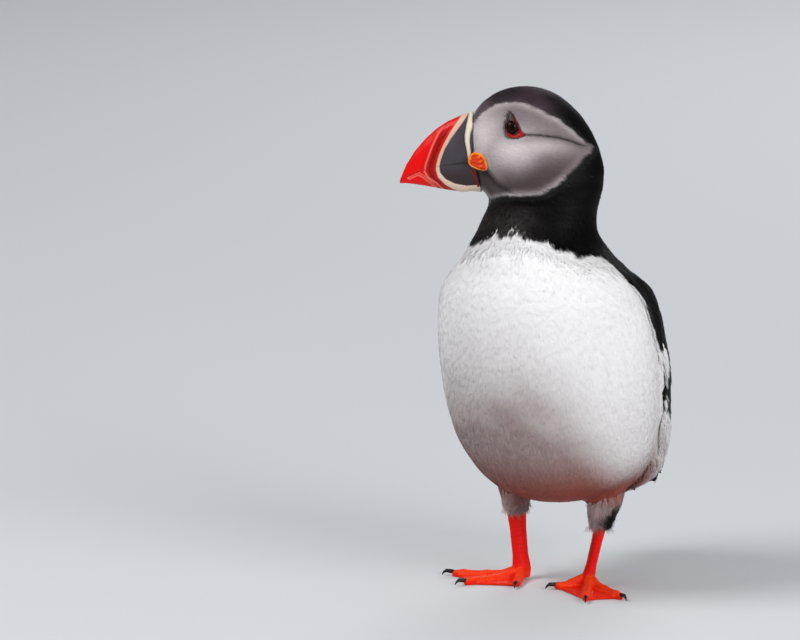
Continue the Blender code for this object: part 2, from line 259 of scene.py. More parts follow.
def melted(names, name, grow, voxel, smoothing):
    """Copies of these solids melted into one surface; sizes in millimetres."""
    piece = copy_of(names, name, grow * MM)
    apply_modifier(piece, "REMESH", mode="VOXEL", voxel_size=voxel * MM)
    apply_modifier(piece, "SMOOTH", factor=0.5, iterations=smoothing)
    print(name, len(piece.data.vertices), "points")
    return piece


def unwrap(obj):
    """Unfolds a piece flat by its own shape."""
    only(obj)
    bpy.ops.object.mode_set(mode="EDIT")
    bpy.ops.mesh.select_all(action="SELECT")
    bpy.ops.uv.smart_project(angle_limit=1.15, island_margin=0.002)
    bpy.ops.object.mode_set(mode="OBJECT")
    obj.data.uv_layers[0].name = "OFBake"


def finish_piece(piece, colour, material, slot_name, *replaced):
    """Paints a piece, gives it its finish and fixes it to the model."""
    set_colours(piece.data, colour)
    piece.data.materials.append(material)
    piece.data.shade_smooth()
    if replaced:
        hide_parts(*replaced)
    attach(piece, "root")


# %% [markdown]
# ## Finishes
# Feathers, horn and bare skin are all made of keratin, and differ in how they scatter light: barbs are
# matt, horn is polished by wear, and leg skin is waxy between fine scales. The colour could be a picture
# on each piece; here it is the paint on the vertices, so that skin and tufts take it from one rule.
# Nodes then break it up a little, and add the relief that is too fine to model.

# %% How a finish is built
CLOUDS_PER_METRE = 260.0  # patches of uneven tone about 4 mm across


def node(material, kind, settings=(), **links):
    """Adds a node; settings go on it or its sockets by name, links join sockets to other nodes' outputs."""
    tree = material.node_tree
    new = tree.nodes.new("ShaderNode" + kind)
    for key, value in dict(settings).items():
        if isinstance(key, str) and hasattr(new, key):
            setattr(new, key, value)
        else:
            new.inputs[key].default_value = value
    for key, source in links.items():
        socket = key.replace("_", " ")
        target = new.inputs[int(socket[1:])] if socket[1:].isdigit() else new.inputs[socket]
        tree.links.new(source, target)
    return new


def new_material(name):
    """An empty material."""
    material = bpy.data.materials.new(name)
    material.use_nodes = True
    material.node_tree.nodes.clear()
    return material


def finish_material(material, shader):
    """Sends a shader to the surface."""
    end = material.node_tree.nodes.new("ShaderNodeOutputMaterial")
    material.node_tree.links.new(shader.outputs[0], end.inputs["Surface"])
    return material


def painted(name, roughness, grain=0.0, relief=0.0, scales=0.0, uneven=0.12, **shader):
    """A finish that takes its colour from the paint on the vertices, with a grain and scales of these
    sizes and a relief of this depth, all in millimetres."""
    m = new_material(name)
    paint = node(m, "Attribute", {"attribute_name": "Col"})
    place = node(m, "TexCoord").outputs["Object"]
    cloud = node(m, "TexNoise", {"Scale": CLOUDS_PER_METRE, "Detail": 4.0}, Vector=place).outputs["Fac"]
    tone = node(m, "MapRange", {"To Min": 1 - uneven, "To Max": 1 + uneven}, Value=cloud)
    colour = node(m, "VectorMath", {"operation": "MULTIPLY"}, _0=paint.outputs["Color"], _1=tone.outputs[0])
    worn = {"To Min": roughness * 0.85, "To Max": roughness * 1.15}
    rough = node(m, "MapRange", worn, Value=cloud)
    links = {"Base_Color": colour.outputs[0], "Roughness": rough.outputs[0]}
    if relief:
        height = node(m, "TexNoise", {"Scale": 1 / (grain * MM), "Detail": 3.0}, Vector=place).outputs["Fac"]
        if scales:
            plates = {"feature": "DISTANCE_TO_EDGE", "Scale": 1 / (scales * MM)}
            edge = node(m, "TexVoronoi", plates, Vector=place)
            rim = node(m, "MapRange", {"From Max": 0.18}, Value=edge.outputs[0])
            height = node(m, "Math", {"operation": "ADD"}, _0=rim.outputs[0], _1=height).outputs[0]
        bump = node(m, "Bump", {"Strength": 1.0, "Distance": relief * MM}, Height=height)
        links["Normal"] = bump.outputs[0]
    return finish_material(m, node(m, "BsdfPrincipled", shader, **links))


# %% The finishes
# White breast feathers: loose barbs scatter nearly all light, so matt, with a faint sheen at the edges.
FEATHER_WHITE = painted(
    "white feathers", 0.7, uneven=0.02, **{"IOR": 1.5, "Specular IOR Level": 0.3, "Sheen Weight": 0.1}
)
# Black back, crown and wing feathers: dark pigment takes the light, and close barbs leave a dull silkiness.
FEATHER_BLACK = painted("black feathers", 0.5, uneven=0.15, **{"IOR": 1.5, "Specular IOR Level": 0.07})
# Grey face feathers: very short and dense, so they look like felt.
FEATHER_GREY = painted(
    "grey face feathers", 0.75, uneven=0.05, **{"IOR": 1.5, "Specular IOR Level": 0.25, "Sheen Weight": 0.05}
)
# Bill horn: keratin rubbed smooth, with fine growth grain, so a soft, broad shine.
HORN = painted(
    "bill horn", 0.36, 0.9, 0.06, uneven=0.08,
    **{"IOR": 1.54, "Specular IOR Level": 0.17, "Coat Weight": 0.03, "Coat Roughness": 0.2},
)
# Claw horn: the same keratin, darker and scuffed by rock, so the shine breaks up.
CLAW = painted("claw horn", 0.4, 0.7, 0.05, uneven=0.2, **{"IOR": 1.54, "Specular IOR Level": 0.3})
# Leg skin: waxy and netted with scales about a millimetre wide, so it glints between dull seams.
LEG_SKIN = painted(
    "leg skin", 0.42, 0.6, 0.05, scales=1.1, uneven=0.1, **{"IOR": 1.45, "Specular IOR Level": 0.17}
)
# Gape skin: soft and puckered, so it is duller than horn.
SOFT_SKIN = painted("gape skin", 0.5, 0.7, 0.12, uneven=0.12, **{"IOR": 1.45, "Specular IOR Level": 0.3})
# Eyelid: thin bare skin kept a little moist by the eye.
LID = painted("eyelid", 0.4, 0.4, 0.05, uneven=0.1, **{"IOR": 1.45, "Specular IOR Level": 0.25})
# Eye: a wet, clear cornea over a dark iris, so it is almost black with one small sharp highlight.
EYE_GLOSS = painted("eye", 0.07, uneven=0.1, **{"IOR": 1.38, "Specular IOR Level": 0.12})
print(len(bpy.data.materials), "materials, those of the solid model among them")

# %% [markdown]
# ## The skin
# Under the plumage the bird is one body: head, neck, trunk, wings, tail and thighs run into each other.
# It could be sculpted from a ball, but the solids already have its proportions, so copies of them are
# melted into one surface. The sockets and rosettes are filled in, so that other pieces can lie on it.

# %% One skin from the solids
GROW, SKIN_VOXEL = 0.35, 1.15  # millimetres
FLESH = [n for n in nodes if n.split("_")[0] in ("head", "neck", "trunk", "wing", "tail", "thigh")]
BARE = [n for n in nodes if n.split("_")[0] in ("leg", "foot")]

FILLED = ["eye_left", "eye_right", "rosette_left", "rosette_right"]
skin = melted(FLESH + FILLED, "skin", GROW, SKIN_VOXEL, 9)

# %% [markdown]
# ### Parts of the body
# Coat depth, colour and lie differ from part to part. Each point of the skin could be given its part by
# hand, but the solid that lies nearest to it says the same.

# %% Parts of the body
label_points, label_faces, label_of = [], [], []
for number, n in enumerate(FLESH):
    start = len(label_points)
    label_points += [tuple(v.co) for v in nodes[n].data.vertices]
    for face in nodes[n].data.polygons:
        label_faces.append([start + i for i in face.vertices])
        label_of.append(number)
label_tree = BVHTree.FromPolygons(label_points, label_faces)
label_of = np.array(label_of)


def part_of(points):
    """Which solid each point belongs to, as a number in FLESH."""
    return label_of[[label_tree.find_nearest(Vector(p))[2] for p in points]]


def is_part(labels, *starts):
    """Which of these labels belong to solids whose names start so."""
    return np.isin(labels, [i for i, n in enumerate(FLESH) if n.startswith(starts)])


print(len(FLESH), "soft solids and", len(BARE), "bare ones")

# %% [markdown]
# ### Room for the coat
# The solids reach out to the feather tips, so the skin has to lie deeper by the depth of the coat. A
# smaller copy would shift every part; each point is drawn in along its own normal instead, less where
# the body is thin and a little more where the shoulder would lift the coat into a bump.

# %% Room for the coat
BODY_DEPTH, FACE_DEPTH = 1.7, 0.75
COAT_DEPTH = {"neck": 1.6, "wing": 1.4, "thigh": 1.4, "tail": 0.6, "head": 0.9}
THIN_SHARE = 0.25  # the most of the body's own thickness that the coat takes
SHOULDER, SHOULDER_REACH, SHOULDER_PRESS = (42.5, 11.0, 147.0), 10, 1.8
co, no, edges = arrays(skin.data)
part = part_of(co)
depth = np.full(len(co), BODY_DEPTH)
for name, deep in COAT_DEPTH.items():
    depth[is_part(part, name)] = deep
tree = tree_of(skin.data)
through = [tree.ray_cast(Vector(p - n * 0.05 * MM), Vector(-n))[3] or 0.02 for p, n in zip(co, no)]
depth = np.minimum(depth, THIN_SHARE * np.array(through) / MM)
depth = spread(depth[:, None], edges, 14)[:, 0]
shoulder = np.stack([np.sign(co[:, 0]) * SHOULDER[0], *(np.full(len(co), k) for k in SHOULDER[1:])], 1)
from_shoulder = np.linalg.norm(co / MM - STAND - shoulder, axis=1)
depth += SHOULDER_PRESS * np.exp(-((from_shoulder / SHOULDER_REACH) ** 2))
on_face = is_part(part, "head") & (head_place(co)[2] > 180)
depth = np.where(on_face, np.minimum(depth, FACE_DEPTH), depth)
depth = spread(depth[:, None], edges, 3)[:, 0]
co = co - no * ((GROW + depth) * MM)[:, None]
set_places(skin.data, co)
print("coat depth", round(depth.min(), 2), "to", round(depth.max(), 2), "mm")

# %% [markdown]
# ### The folds of the face
# A puffin's face has a deep fold running back from the eye, and the eye sits in a shallow hollow with
# the cheek swelling below it. A bump in the finish would vanish at the outline and throw no shadow, so
# the skin is cut finer around the eye and these are pressed into the mesh itself.

# %% The folds of the face
CREASE = [
    (9.6, 209.3), (5.2, 209.3), (-1.5, 208.7), (-7.4, 207.9), (-13.4, 206.2), (-17.4, 204.6), (-23.0, 204.0),
]
MALAR_EDGE = [
    (34, 194.5), (29.0, 194.0), (26.3, 193.3), (24.3, 190.7), (21.7, 187.4), (18.4, 185.1), (15.1, 183.4),
]
MALAR_AREA = MALAR_EDGE + [(12, 182.2), (19.7, 179.5), (25, 178), (34, 184)]
bm = bmesh.new()
bm.from_mesh(skin.data)
f, l, u = head_place(np.array([v.co[:] for v in bm.verts]))
v = mark_height(l, u)
fine = (line_distance([(19, 214)] + CREASE, f, v) < 6.5) & (u > 195) & (np.abs(l) > 5)
bm.verts.ensure_lookup_table()
cut = [e for e in bm.edges if fine[e.verts[0].index] and fine[e.verts[1].index]]
bmesh.ops.subdivide_edges(bm, edges=cut, cuts=1, use_grid_fill=True)
bm.normal_update()
bm.to_mesh(skin.data)
bm.free()

co, no, edges = arrays(skin.data)
f, l, u = head_place(co)
v = mark_height(l, u)
beside = (np.abs(l) > 4) & (u > 185)
move = -0.95 * np.exp(-((line_distance(CREASE, f, v) / 0.85) ** 2)) * eased(-23, -15, f)
move += 0.5 * np.exp(-((f - 2) ** 2) / 160 - (v - 202) ** 2 / 30)  # the cheek's swell
cheek_edge = line_distance(MALAR_EDGE, f, v)
over = inside(MALAR_AREA, f, v)
move += 0.55 * np.exp(-(((cheek_edge - 1.2) / 1.6) ** 2)) * (over < 0) * eased(182, 190, u)
move -= 0.35 * np.exp(-(((cheek_edge - 0.6) / 1.0) ** 2)) * (over > 0)
from_eye = np.hypot(f - EYE[0], (v - EYE_MARK) * 0.9)
move -= 0.9 * np.exp(-((from_eye / EYE_RADIUS) ** 4))  # the eye's hollow
co = co + no * (np.where(beside, move, 0) * MM)[:, None]
set_places(skin.data, co)
print("face folds pressed", round(move.min(), 2), "mm deep")

# %% [markdown]
# ### Bare places on the face
# The eye lies in a bare red ring drawn out to a corner behind and a point above, with two small plates,
# and a rosette covers the corner of the mouth. Tufts could be cut away there afterwards; it is simpler
# that none is rooted inside these outlines. Ring and plates are measured from the eye.

# %% Bare places on the face
RING = [
    (0.8, 7.5), (1.0, 7.5), (2.2, 4.6), (2.9, 2.2), (3.2, -0.4), (2.9, -2.9), (1.6, -4.7), (-1.8, -4.8),
    (-5.6, -3.5), (-5.6, -3.2), (-4.0, -1.5), (-2.6, 1.4), (-1.0, 4.8),
]
OPENING = [
    (0.3, 3.2), (1.1, 3.1), (2.1, 2.5), (2.8, 1.2), (2.9, -0.5), (2.3, -2.1), (0.8, -3.1), (-1.0, -3.1),
    (-2.3, -2.5), (-2.8, -1.9), (-2.6, -0.4), (-2.0, 1.2), (-0.8, 2.6),
]
PLATE = [(0.9, 7.0), (1.8, 5.4), (2.4, 3.5), (0.9, 2.9), (-0.9, 3.3), (-0.3, 5.4)]
LOWER_PLATE = [
    (1.0, -3.5), (1.3, -4.4), (-0.4, -4.8), (-2.2, -4.5), (-3.6, -3.7), (-2.2, -3.4), (-0.6, -3.4),
]
ROSETTE = [
    (35.2, 206.2), (33.8, 209.2), (31.3, 210.6), (28.2, 209.5), (26.2, 205.4), (26.3, 202.7), (28.8, 201.8),
    (31.6, 203.2), (34.6, 205.2),
]

# %% [markdown]
# ## Markings
# The plumage is black above, with a black collar round the throat, a pale grey face that runs to a point
# behind the eye, and white below. An image on the skin would stretch and couldn't reach the tufts, so a
# rule gives the colour of any place, and skin and feathers both ask it. A feather asks for the place its
# tip covers, so borders break up feather by feather.
# The rule also paints some light and shade on face, crown, breast, belly and thighs.

# %% Colours and outlines of the plumage
# White and black are the plumage's own colours; the middle one is painted shade for the lower breast and
# belly.
WHITE, LOWER_SHADE, BLACK = linear("#f6f4f4"), linear("#a18f8c"), linear("#0c0a0a")
# Painted shade with red light reflected from legs and ground, for the bottom of the belly.
BELLY_SHADE_AND_REFLECTION = linear("#8a4032")
BROWN_BLACK_AND_SHEEN, COLLAR = linear("#4b4045"), linear("#312c2c")
# On the face the palest colour is painted light and the darkest painted shade.
CHEEK_PALE, CHEEK_GREY, CHEEK_SHADE = linear("#f0e6e7"), linear("#897c7d"), linear("#43393a")
MALAR, FOREHEAD = linear("#5d504f"), linear("#83767a")
FACE = [
    (36, 206), (33.4, 211.5), (31.6, 214.5), (29.0, 218.8), (25.7, 221.5), (22.4, 223.1), (17.1, 224.1),
    (12.4, 224.6), (7.1, 223.2), (1.8, 221.0), (-3.5, 218.1), (-8.1, 215.7), (-12.7, 211.9),
    (-16.7, 208.2), (-19.3, 205.8), (-23.4, 203.9), (-21.3, 201.3), (-18.0, 198.0), (-14.0, 193.3),
    (-10.1, 189.4), (-5.4, 185.7), (-1.5, 183.1), (2.5, 181.5), (9.1, 181.1), (15.7, 181.5),
    (19.7, 180.8), (24.3, 179.9), (29.0, 184.4), (33, 192.0), (36, 198),
]
# Height of the black border at angles in degrees round the trunk, from the breast to the back.
AROUND = [0, 27, 46, 60, 76, 88, 92, 96, 102.5, 117, 125, 135, 150, 180]
BORDER = [173.7, 171.5, 167, 164.6, 164, 161.5, 148.5, 136, 123, 101, 86, 71, 60, 54]
# How far back the middle of the trunk lies at heights from the floor.
MIDDLE_Z = [60, 90, 123, 150, 175]
MIDDLE_Y = [-6.0, -5.9, -12.9, -22.0, -25.9]
# The middle line of the folded wing from shoulder to tip, and half its width there.
WING_LINE = np.array([
    (37, -16, 148.5), (40.5, -8, 145), (42.8, 4, 135.5), (42, 18, 120), (37.5, 32, 102), (30, 44.5, 82),
    (21.6, 55.5, 63), (15, 65.5, 48), (12, 73, 38),
])
WING_HALF = np.array((3, 10.5, 17, 22, 24, 21, 15, 8.5, 3))
# Width of the strip of flank feathers over the wing's lower edge, at heights from the floor.
OVER_Z = [42, 50, 56, 66, 72, 78, 84, 92, 98, 104, 112, 118, 123, 128, 133]
OVER_WIDTH = [-5, 0, 6, 9, 10, 9, 7, 9, 13, 20, 21, 19, 12, 4, -3]
# Height of the black rump's lower edge at places from the flank back to the tail.
RUMP_Y, RUMP_Z = (15, 42, 53, 63, 77), (86, 66, 55.5, 46.5, 35.4)
print(len(FACE), "corners round the face,", len(AROUND), "heights round the trunk")

# %% How far inside a border
def over_wing(points):
    """How far inside the strip of flank feathers that hides the wing's lower edge, in millimetres."""
    y, z = (points / MM - STAND)[:, 1:].T
    nearest, amount = np.full(len(points), 1e9), np.zeros(len(points))
    for k in range(len(WING_LINE) - 1):
        (y0, z0), (y1, z1) = WING_LINE[k, 1:], WING_LINE[k + 1, 1:]
        long = math.hypot(y1 - y0, z1 - z0)
        t = np.clip(((y - y0) * (y1 - y0) + (z - z0) * (z1 - z0)) / long**2, 0, 1)
        dy, dz = y - y0 - t * (y1 - y0), z - z0 - t * (z1 - z0)
        gap = np.hypot(dy, dz)
        high = gap * np.sign(-(z1 - z0) * dy + (y1 - y0) * dz)
        half = WING_HALF[k] * (1 - t) + WING_HALF[k + 1] * t
        amount = np.where(gap < nearest, np.interp(z, OVER_Z, OVER_WIDTH) - half - high, amount)
        nearest = np.minimum(nearest, gap)
    return amount


def white_amount(points):
    """How far below the black border a point is, in millimetres; the border climbs from back to breast."""
    x, y, z = (points / MM).T
    middle = np.interp(z, MIDDLE_Z, MIDDLE_Y)
    turn = np.degrees(np.abs(np.arctan2(x - MARKS_FROM[0], -(y - middle))))
    return np.interp(turn, AROUND, BORDER) - z


# %% The grey face
def face_paint(points):
    """The colour of the face, with painted light below and ahead of the eye and along its upper edge, and
    painted shade under the eye, on the lower and rear cheek and beside the fold; and how strongly each point
    takes it.
    """
    f, l, u = head_place(points)
    v = mark_height(l, u)
    ragged = 0.7 * drift(points, 3.0)
    grey = np.tile(CHEEK_GREY, (len(points), 1))
    # Painted light: the face is brightest below and ahead of the eye.
    bright = np.exp(-((f - 14) ** 2) / 210 - ((v - 203) ** 2) / 85)
    bright = np.maximum(bright, 0.75 * np.exp(-((f - 5) ** 2) / 270 - ((v - 204) ** 2) / 26))
    bright = np.maximum(bright, 1.0 * np.exp(-((f - 28) ** 2) / 95 - ((v - 210) ** 2) / 150))
    grey = blend(grey, CHEEK_PALE, bright)
    # Painted shade just under the eye.
    shade_under_eye = np.exp(-((f - 9) ** 2) / 90 - ((v - 208) ** 2) / 6)
    grey = blend(grey, linear("#7a6d6e"), 0.45 * shade_under_eye)
    # Painted highlight along the upper edge of the face.
    highlight_along_top = np.exp(-((line_distance(FACE[3:15], f, v) / 2.0) ** 2))
    grey = blend(grey, CHEEK_PALE, 0.45 * highlight_along_top)
    # Painted shade on the lower cheek, more of it towards the rear.
    rear = eased(12, -2, f)
    low = eased(0, 1, (197 + 9 * rear - v) / (12 + 4 * rear))
    low = low * eased(26, 15, f) * eased(1.2, 4, inside(FACE, f, v))
    grey = blend(grey, CHEEK_SHADE, 0.8 * low)
    grey = blend(grey, MALAR, eased(-0.5, 0.5, inside(MALAR_AREA, f, v) + ragged * 0.3))
    beside_malar = np.exp(-((line_distance(MALAR_EDGE, f, v) / 1.3) ** 2))
    grey = blend(grey, linear("#2b2324"), 0.75 * beside_malar * eased(30, 26, f))
    low_rim = np.exp(-((line_distance(FACE[19:29], f, v) / 1.15) ** 2))
    grey = blend(grey, linear("#e3dadb"), (0.55 + 0.4 * eased(5, 15, f)) * low_rim)
    # Painted shade in and beside the fold behind the eye.
    to_fold = line_distance(CREASE, f, v)
    shade_beside_fold = np.exp(-((to_fold / 2.0) ** 2)) * eased(8, -6, f) * eased(-25, -16, f)
    grey = blend(grey, linear("#4d4344"), 0.55 * shade_beside_fold)
    fold = np.exp(-((to_fold / 0.65) ** 2)) * eased(-24, -16, f)
    grey = blend(grey, linear("#1f1a1b"), 0.9 * fold)
    around_eye = inside(RING, f - EYE[0], v - EYE_MARK)
    grey = blend(grey, linear("#241213"), 0.85 * eased(-0.9, -0.1, around_eye))
    on_head = (u > 172) & (np.abs(l) > 2.5)
    return grey, np.where(on_head, eased(-0.6, 0.6, inside(FACE, f, v) + ragged * 0.5), 0)


# %% The white underside
def white_paint(points):
    """The colour of breast and belly: white, with painted shade that greys the middle of the breast and
    darkens the lower body, and painted shade with red light reflected from legs and ground low on the belly.
    """
    x, y, z = (points / MM).T
    beneath = eased(47, 28, np.abs(x - 1)) * eased(40, 14, y)
    front = eased(40, 14, np.abs(x + 4)) * eased(30, 0, y)
    # Painted shade: greyer in the middle of the breast and darker towards the bottom, unevenly.
    painted_shade = eased(130, 64, z) * (0.25 + 0.75 * beneath) + 0.24 * eased(158, 112, z) * front
    painted_shade = painted_shade * (1 + 0.12 * drift(points, 14.0))
    white = blend(np.tile(WHITE, (len(points), 1)), LOWER_SHADE, np.clip(painted_shade, 0, 1))
    # Painted shade and painted red reflected light, strongest low under the belly.
    return blend(white, BELLY_SHADE_AND_REFLECTION, 0.95 * eased(78, 48, z) * (0.08 + 0.92 * beneath))


def white_reach(points, labels):
    """How far inside the white a point is, in millimetres, with a ragged border and a few stray flecks."""
    x, y, z = (points / MM).T
    reach = white_amount(points) + 0.9 * drift(points, 4.0) + 0.5 * drift(points[:, [1, 2, 0]], 1.5)
    fleck = eased(0.5, 0.75, drift(points[:, [2, 0, 1]], 0.8)) * eased(-30, -38, y)
    fleck = fleck * eased(9.5, 5, np.abs(x + 3))
    reach += 6 * fleck * eased(-9, -3, reach)
    rump = np.interp(y - MARKS_FROM[1], RUMP_Y, RUMP_Z) - z - 3 + 2 * drift(points, 4.0)
    reach = np.where(y > 16, np.minimum(reach, rump), reach)
    return np.where(is_part(labels, "wing"), over_wing(points) + 1.2 * drift(points, 4.0), reach)


# %% The thighs
def thigh_paint(points, white):
    """The colour of the thighs: white greyed by painted shade under the belly, darker on the inner side of the
    right thigh, with a black patch on the outer side.
    """
    x, y, z = (points / MM - MARKS_FROM).T
    outer = np.where(x > 0, (x - 19.0) * 0.9 + (y - 11.5) * 0.5, -(x + 24.4) * 0.7 + (y - 8) * 0.7)
    outer = outer + 3.5 * eased(38, 31, z) * (x > 0)
    dark = eased(-0.5, 3.0, outer + 1.5 * drift(points, 3.0)) * eased(0, 7, np.where(x > 0, 42, 51) - z)
    # Painted shade: grey-brown under the belly, darker on the inner side of the right thigh.
    down = blend(np.tile(linear("#c3b1ae"), (len(x), 1)), linear("#8d7b79"), eased(-27, -21, x) * (x < 0))
    thigh_in_shade = blend(white, down, eased(45, 36, z) * (0.85 + 0.15 * drift(points, 3.0)))
    return blend(thigh_in_shade, linear("#1c1514"), dark)


# %% All the markings
def markings(points, labels):
    """The colour of the plumage at each point."""
    f, _, u = head_place(points)
    colour = np.tile(BLACK, (len(points), 1))
    # Brownish black on the front of the crown, lighter higher up: partly the feathers' own brown tone, partly
    # painted sheen where they face the light above.
    colour = blend(colour, BROWN_BLACK_AND_SHEEN, 0.85 * (eased(196, 232, u) * eased(-14, 4, f)))
    colour = blend(colour, FOREHEAD, eased(22, 31, f) * eased(200, 208, u) * 0.95)
    throat = eased(-6, 10, f) * eased(190, 178, u) * eased(160, 170, points[:, 2] / MM)
    colour = blend(colour, COLLAR, 0.8 * throat)
    colour = colour * (1 + 0.3 * drift(points, 6.0))[:, None]
    colour = blend(colour, *face_paint(points))
    white = white_paint(points)
    under = ~is_part(labels, "head", "tail") & (u < 178)
    colour = blend(colour, white, np.where(under, eased(-0.8, 0.8, white_reach(points, labels)), 0))
    thigh = is_part(labels, "thigh")
    return np.where(thigh[:, None], thigh_paint(points, white), colour)


# %% [markdown]
# ## The lie of the feathers
# Feathers point back from the bill over the head, down the neck and trunk, along the folded wings to
# their tips, and out along the tail. The headings could be combed in by hand as hair is, but only one
# heading for each part is needed: averaged with their neighbours, they run smoothly into one another.

# %% The lie of the feathers
DOWN_TRUNK, DOWN_NECK, ALONG_TAIL = (0.0, 0.28, -1.0), np.array((0, 0.1, -1.0)), (0, 0.74, -0.67)
part = part_of(co)
_, _, u = head_place(co)
back = -FORWARD + UP * np.where(u > 225, -0.15, -0.35)[:, None]
neck_share = eased(192, 176, co[:, 2] / MM)[:, None]
side_sign = np.where(co[:, 0] > MARKS_FROM[0] * MM, 1.0, -1.0)
along_wing = np.stack([-0.16 * side_sign, np.full(len(co), 0.62), np.full(len(co), -0.77)], 1)
lie = np.tile(DOWN_TRUNK, (len(co), 1))
for name, way in (
    ("head", back),
    ("neck", back * (1 - neck_share) + DOWN_NECK * neck_share),
    ("wing", along_wing),
    ("tail", np.array(ALONG_TAIL)),
):
    lie = np.where(is_part(part, name)[:, None], way, lie)
lie = unit(spread(unit(lie), edges, 40))
print("headings for", len(lie), "points")

# %% [markdown]
# ### Paint and unwrap the skin
# The skin is painted with the same markings and unfolded flat. Seams could be marked by hand, but on a
# body with no edges a projection by the surface's own direction does as well. Every tuft later takes its
# place on that unfolding from where it is rooted.

# %% Paint and unwrap the skin
set_colours(skin.data, markings(co, part))
unwrap(skin)
mesh = skin.data
mesh.calc_loop_triangles()
tri_loops = read(mesh.loop_triangles, "loops", 3, int)
tri_verts = read(mesh.loop_triangles, "vertices", 3, int)
uv = read(mesh.uv_layers["OFBake"].data, "uv", 2)
tri_places = co[tri_verts]
tri_area = 0.5 * np.linalg.norm(
    np.cross(tri_places[:, 1] - tri_places[:, 0], tri_places[:, 2] - tri_places[:, 0]), axis=1
)
tri_part = part[tri_verts[:, 0]]
skin_tree = BVHTree.FromPolygons([tuple(p) for p in co], [tuple(t) for t in tri_verts.tolist()])
print("skin", len(tri_verts), "triangles,", round(tri_area.sum() * 1e4, 1), "square cm")

# %% [markdown]
# ## Tufts
# A body feather shows only the loose fringe of its tip. Hair particles would draw it finely but leave no
# mesh to keep, and whole feathers would look like scales. So each is a few thin barbs that start together
# at the root, fan out and lie one over the next. A walk over the skin finds the line of each feather.

# %% A walk over the skin
coat = {}
calm = unit(spread(arrays(skin.data)[1], edges, 8))
tri_calm = [Vector(n) for n in unit(calm[tri_verts].mean(1))]


def walk(roots, ways, lengths, steps, free=False):
    """Lines over the skin from the roots: places and normals at even steps. A free line runs straight on
    where the skin ends or turns away."""
    lines = np.empty((len(roots), steps + 1, 3))
    normals = np.empty_like(lines)
    frees = np.broadcast_to(free, len(roots))
    for i, (p, way, length, free) in enumerate(zip(roots, ways, lengths, frees)):
        p, way = Vector(p), Vector(way)
        place, _, face, _ = skin_tree.find_nearest(p)
        normal = tri_calm[face]
        for k in range(steps + 1):
            lines[i, k], normals[i, k] = place, normal
            way = way - normal * way.dot(normal)
            way.normalize()
            ahead = place + way * (length / steps)
            place, _, face, far = skin_tree.find_nearest(ahead)
            found = tri_calm[face]
            if free and (far > 0.3 * length / steps or found.dot(normal) < 0.6):
                place = ahead
            else:
                normal = found
    return lines, normals


# %% Tufts of barbs
TONE_CHANGE = {"white": 0.02, "face": 0.15}  # how much barbs differ in tone


def add_to_coat(kind, verts, faces, paint, patch, outward):
    """Keeps a group of strips for one kind of feather, with the skin's own outward way under each point."""
    group = (verts.reshape(-1, 3), faces, paint.reshape(-1, 3), patch.reshape(-1, 2), outward.reshape(-1, 3))
    coat.setdefault(kind, []).append(group)


def between(lines, normals, t):
    """Places, normals and headings at shares t from 0 to 1 of each line; t has a row for each line."""
    steps = lines.shape[1] - 1
    at = np.clip(t, 0, 1) * steps
    low = np.minimum(at.astype(int), steps - 1)
    rest = (at - low)[..., None]
    row = np.arange(len(lines)).reshape((-1,) + (1,) * (t.ndim - 1))
    place = lines[row, low] * (1 - rest) + lines[row, low + 1] * rest
    normal = unit(normals[row, low] * (1 - rest) + normals[row, low + 1] * rest)
    return place, normal, unit(lines[row, low + 1] - lines[row, low])


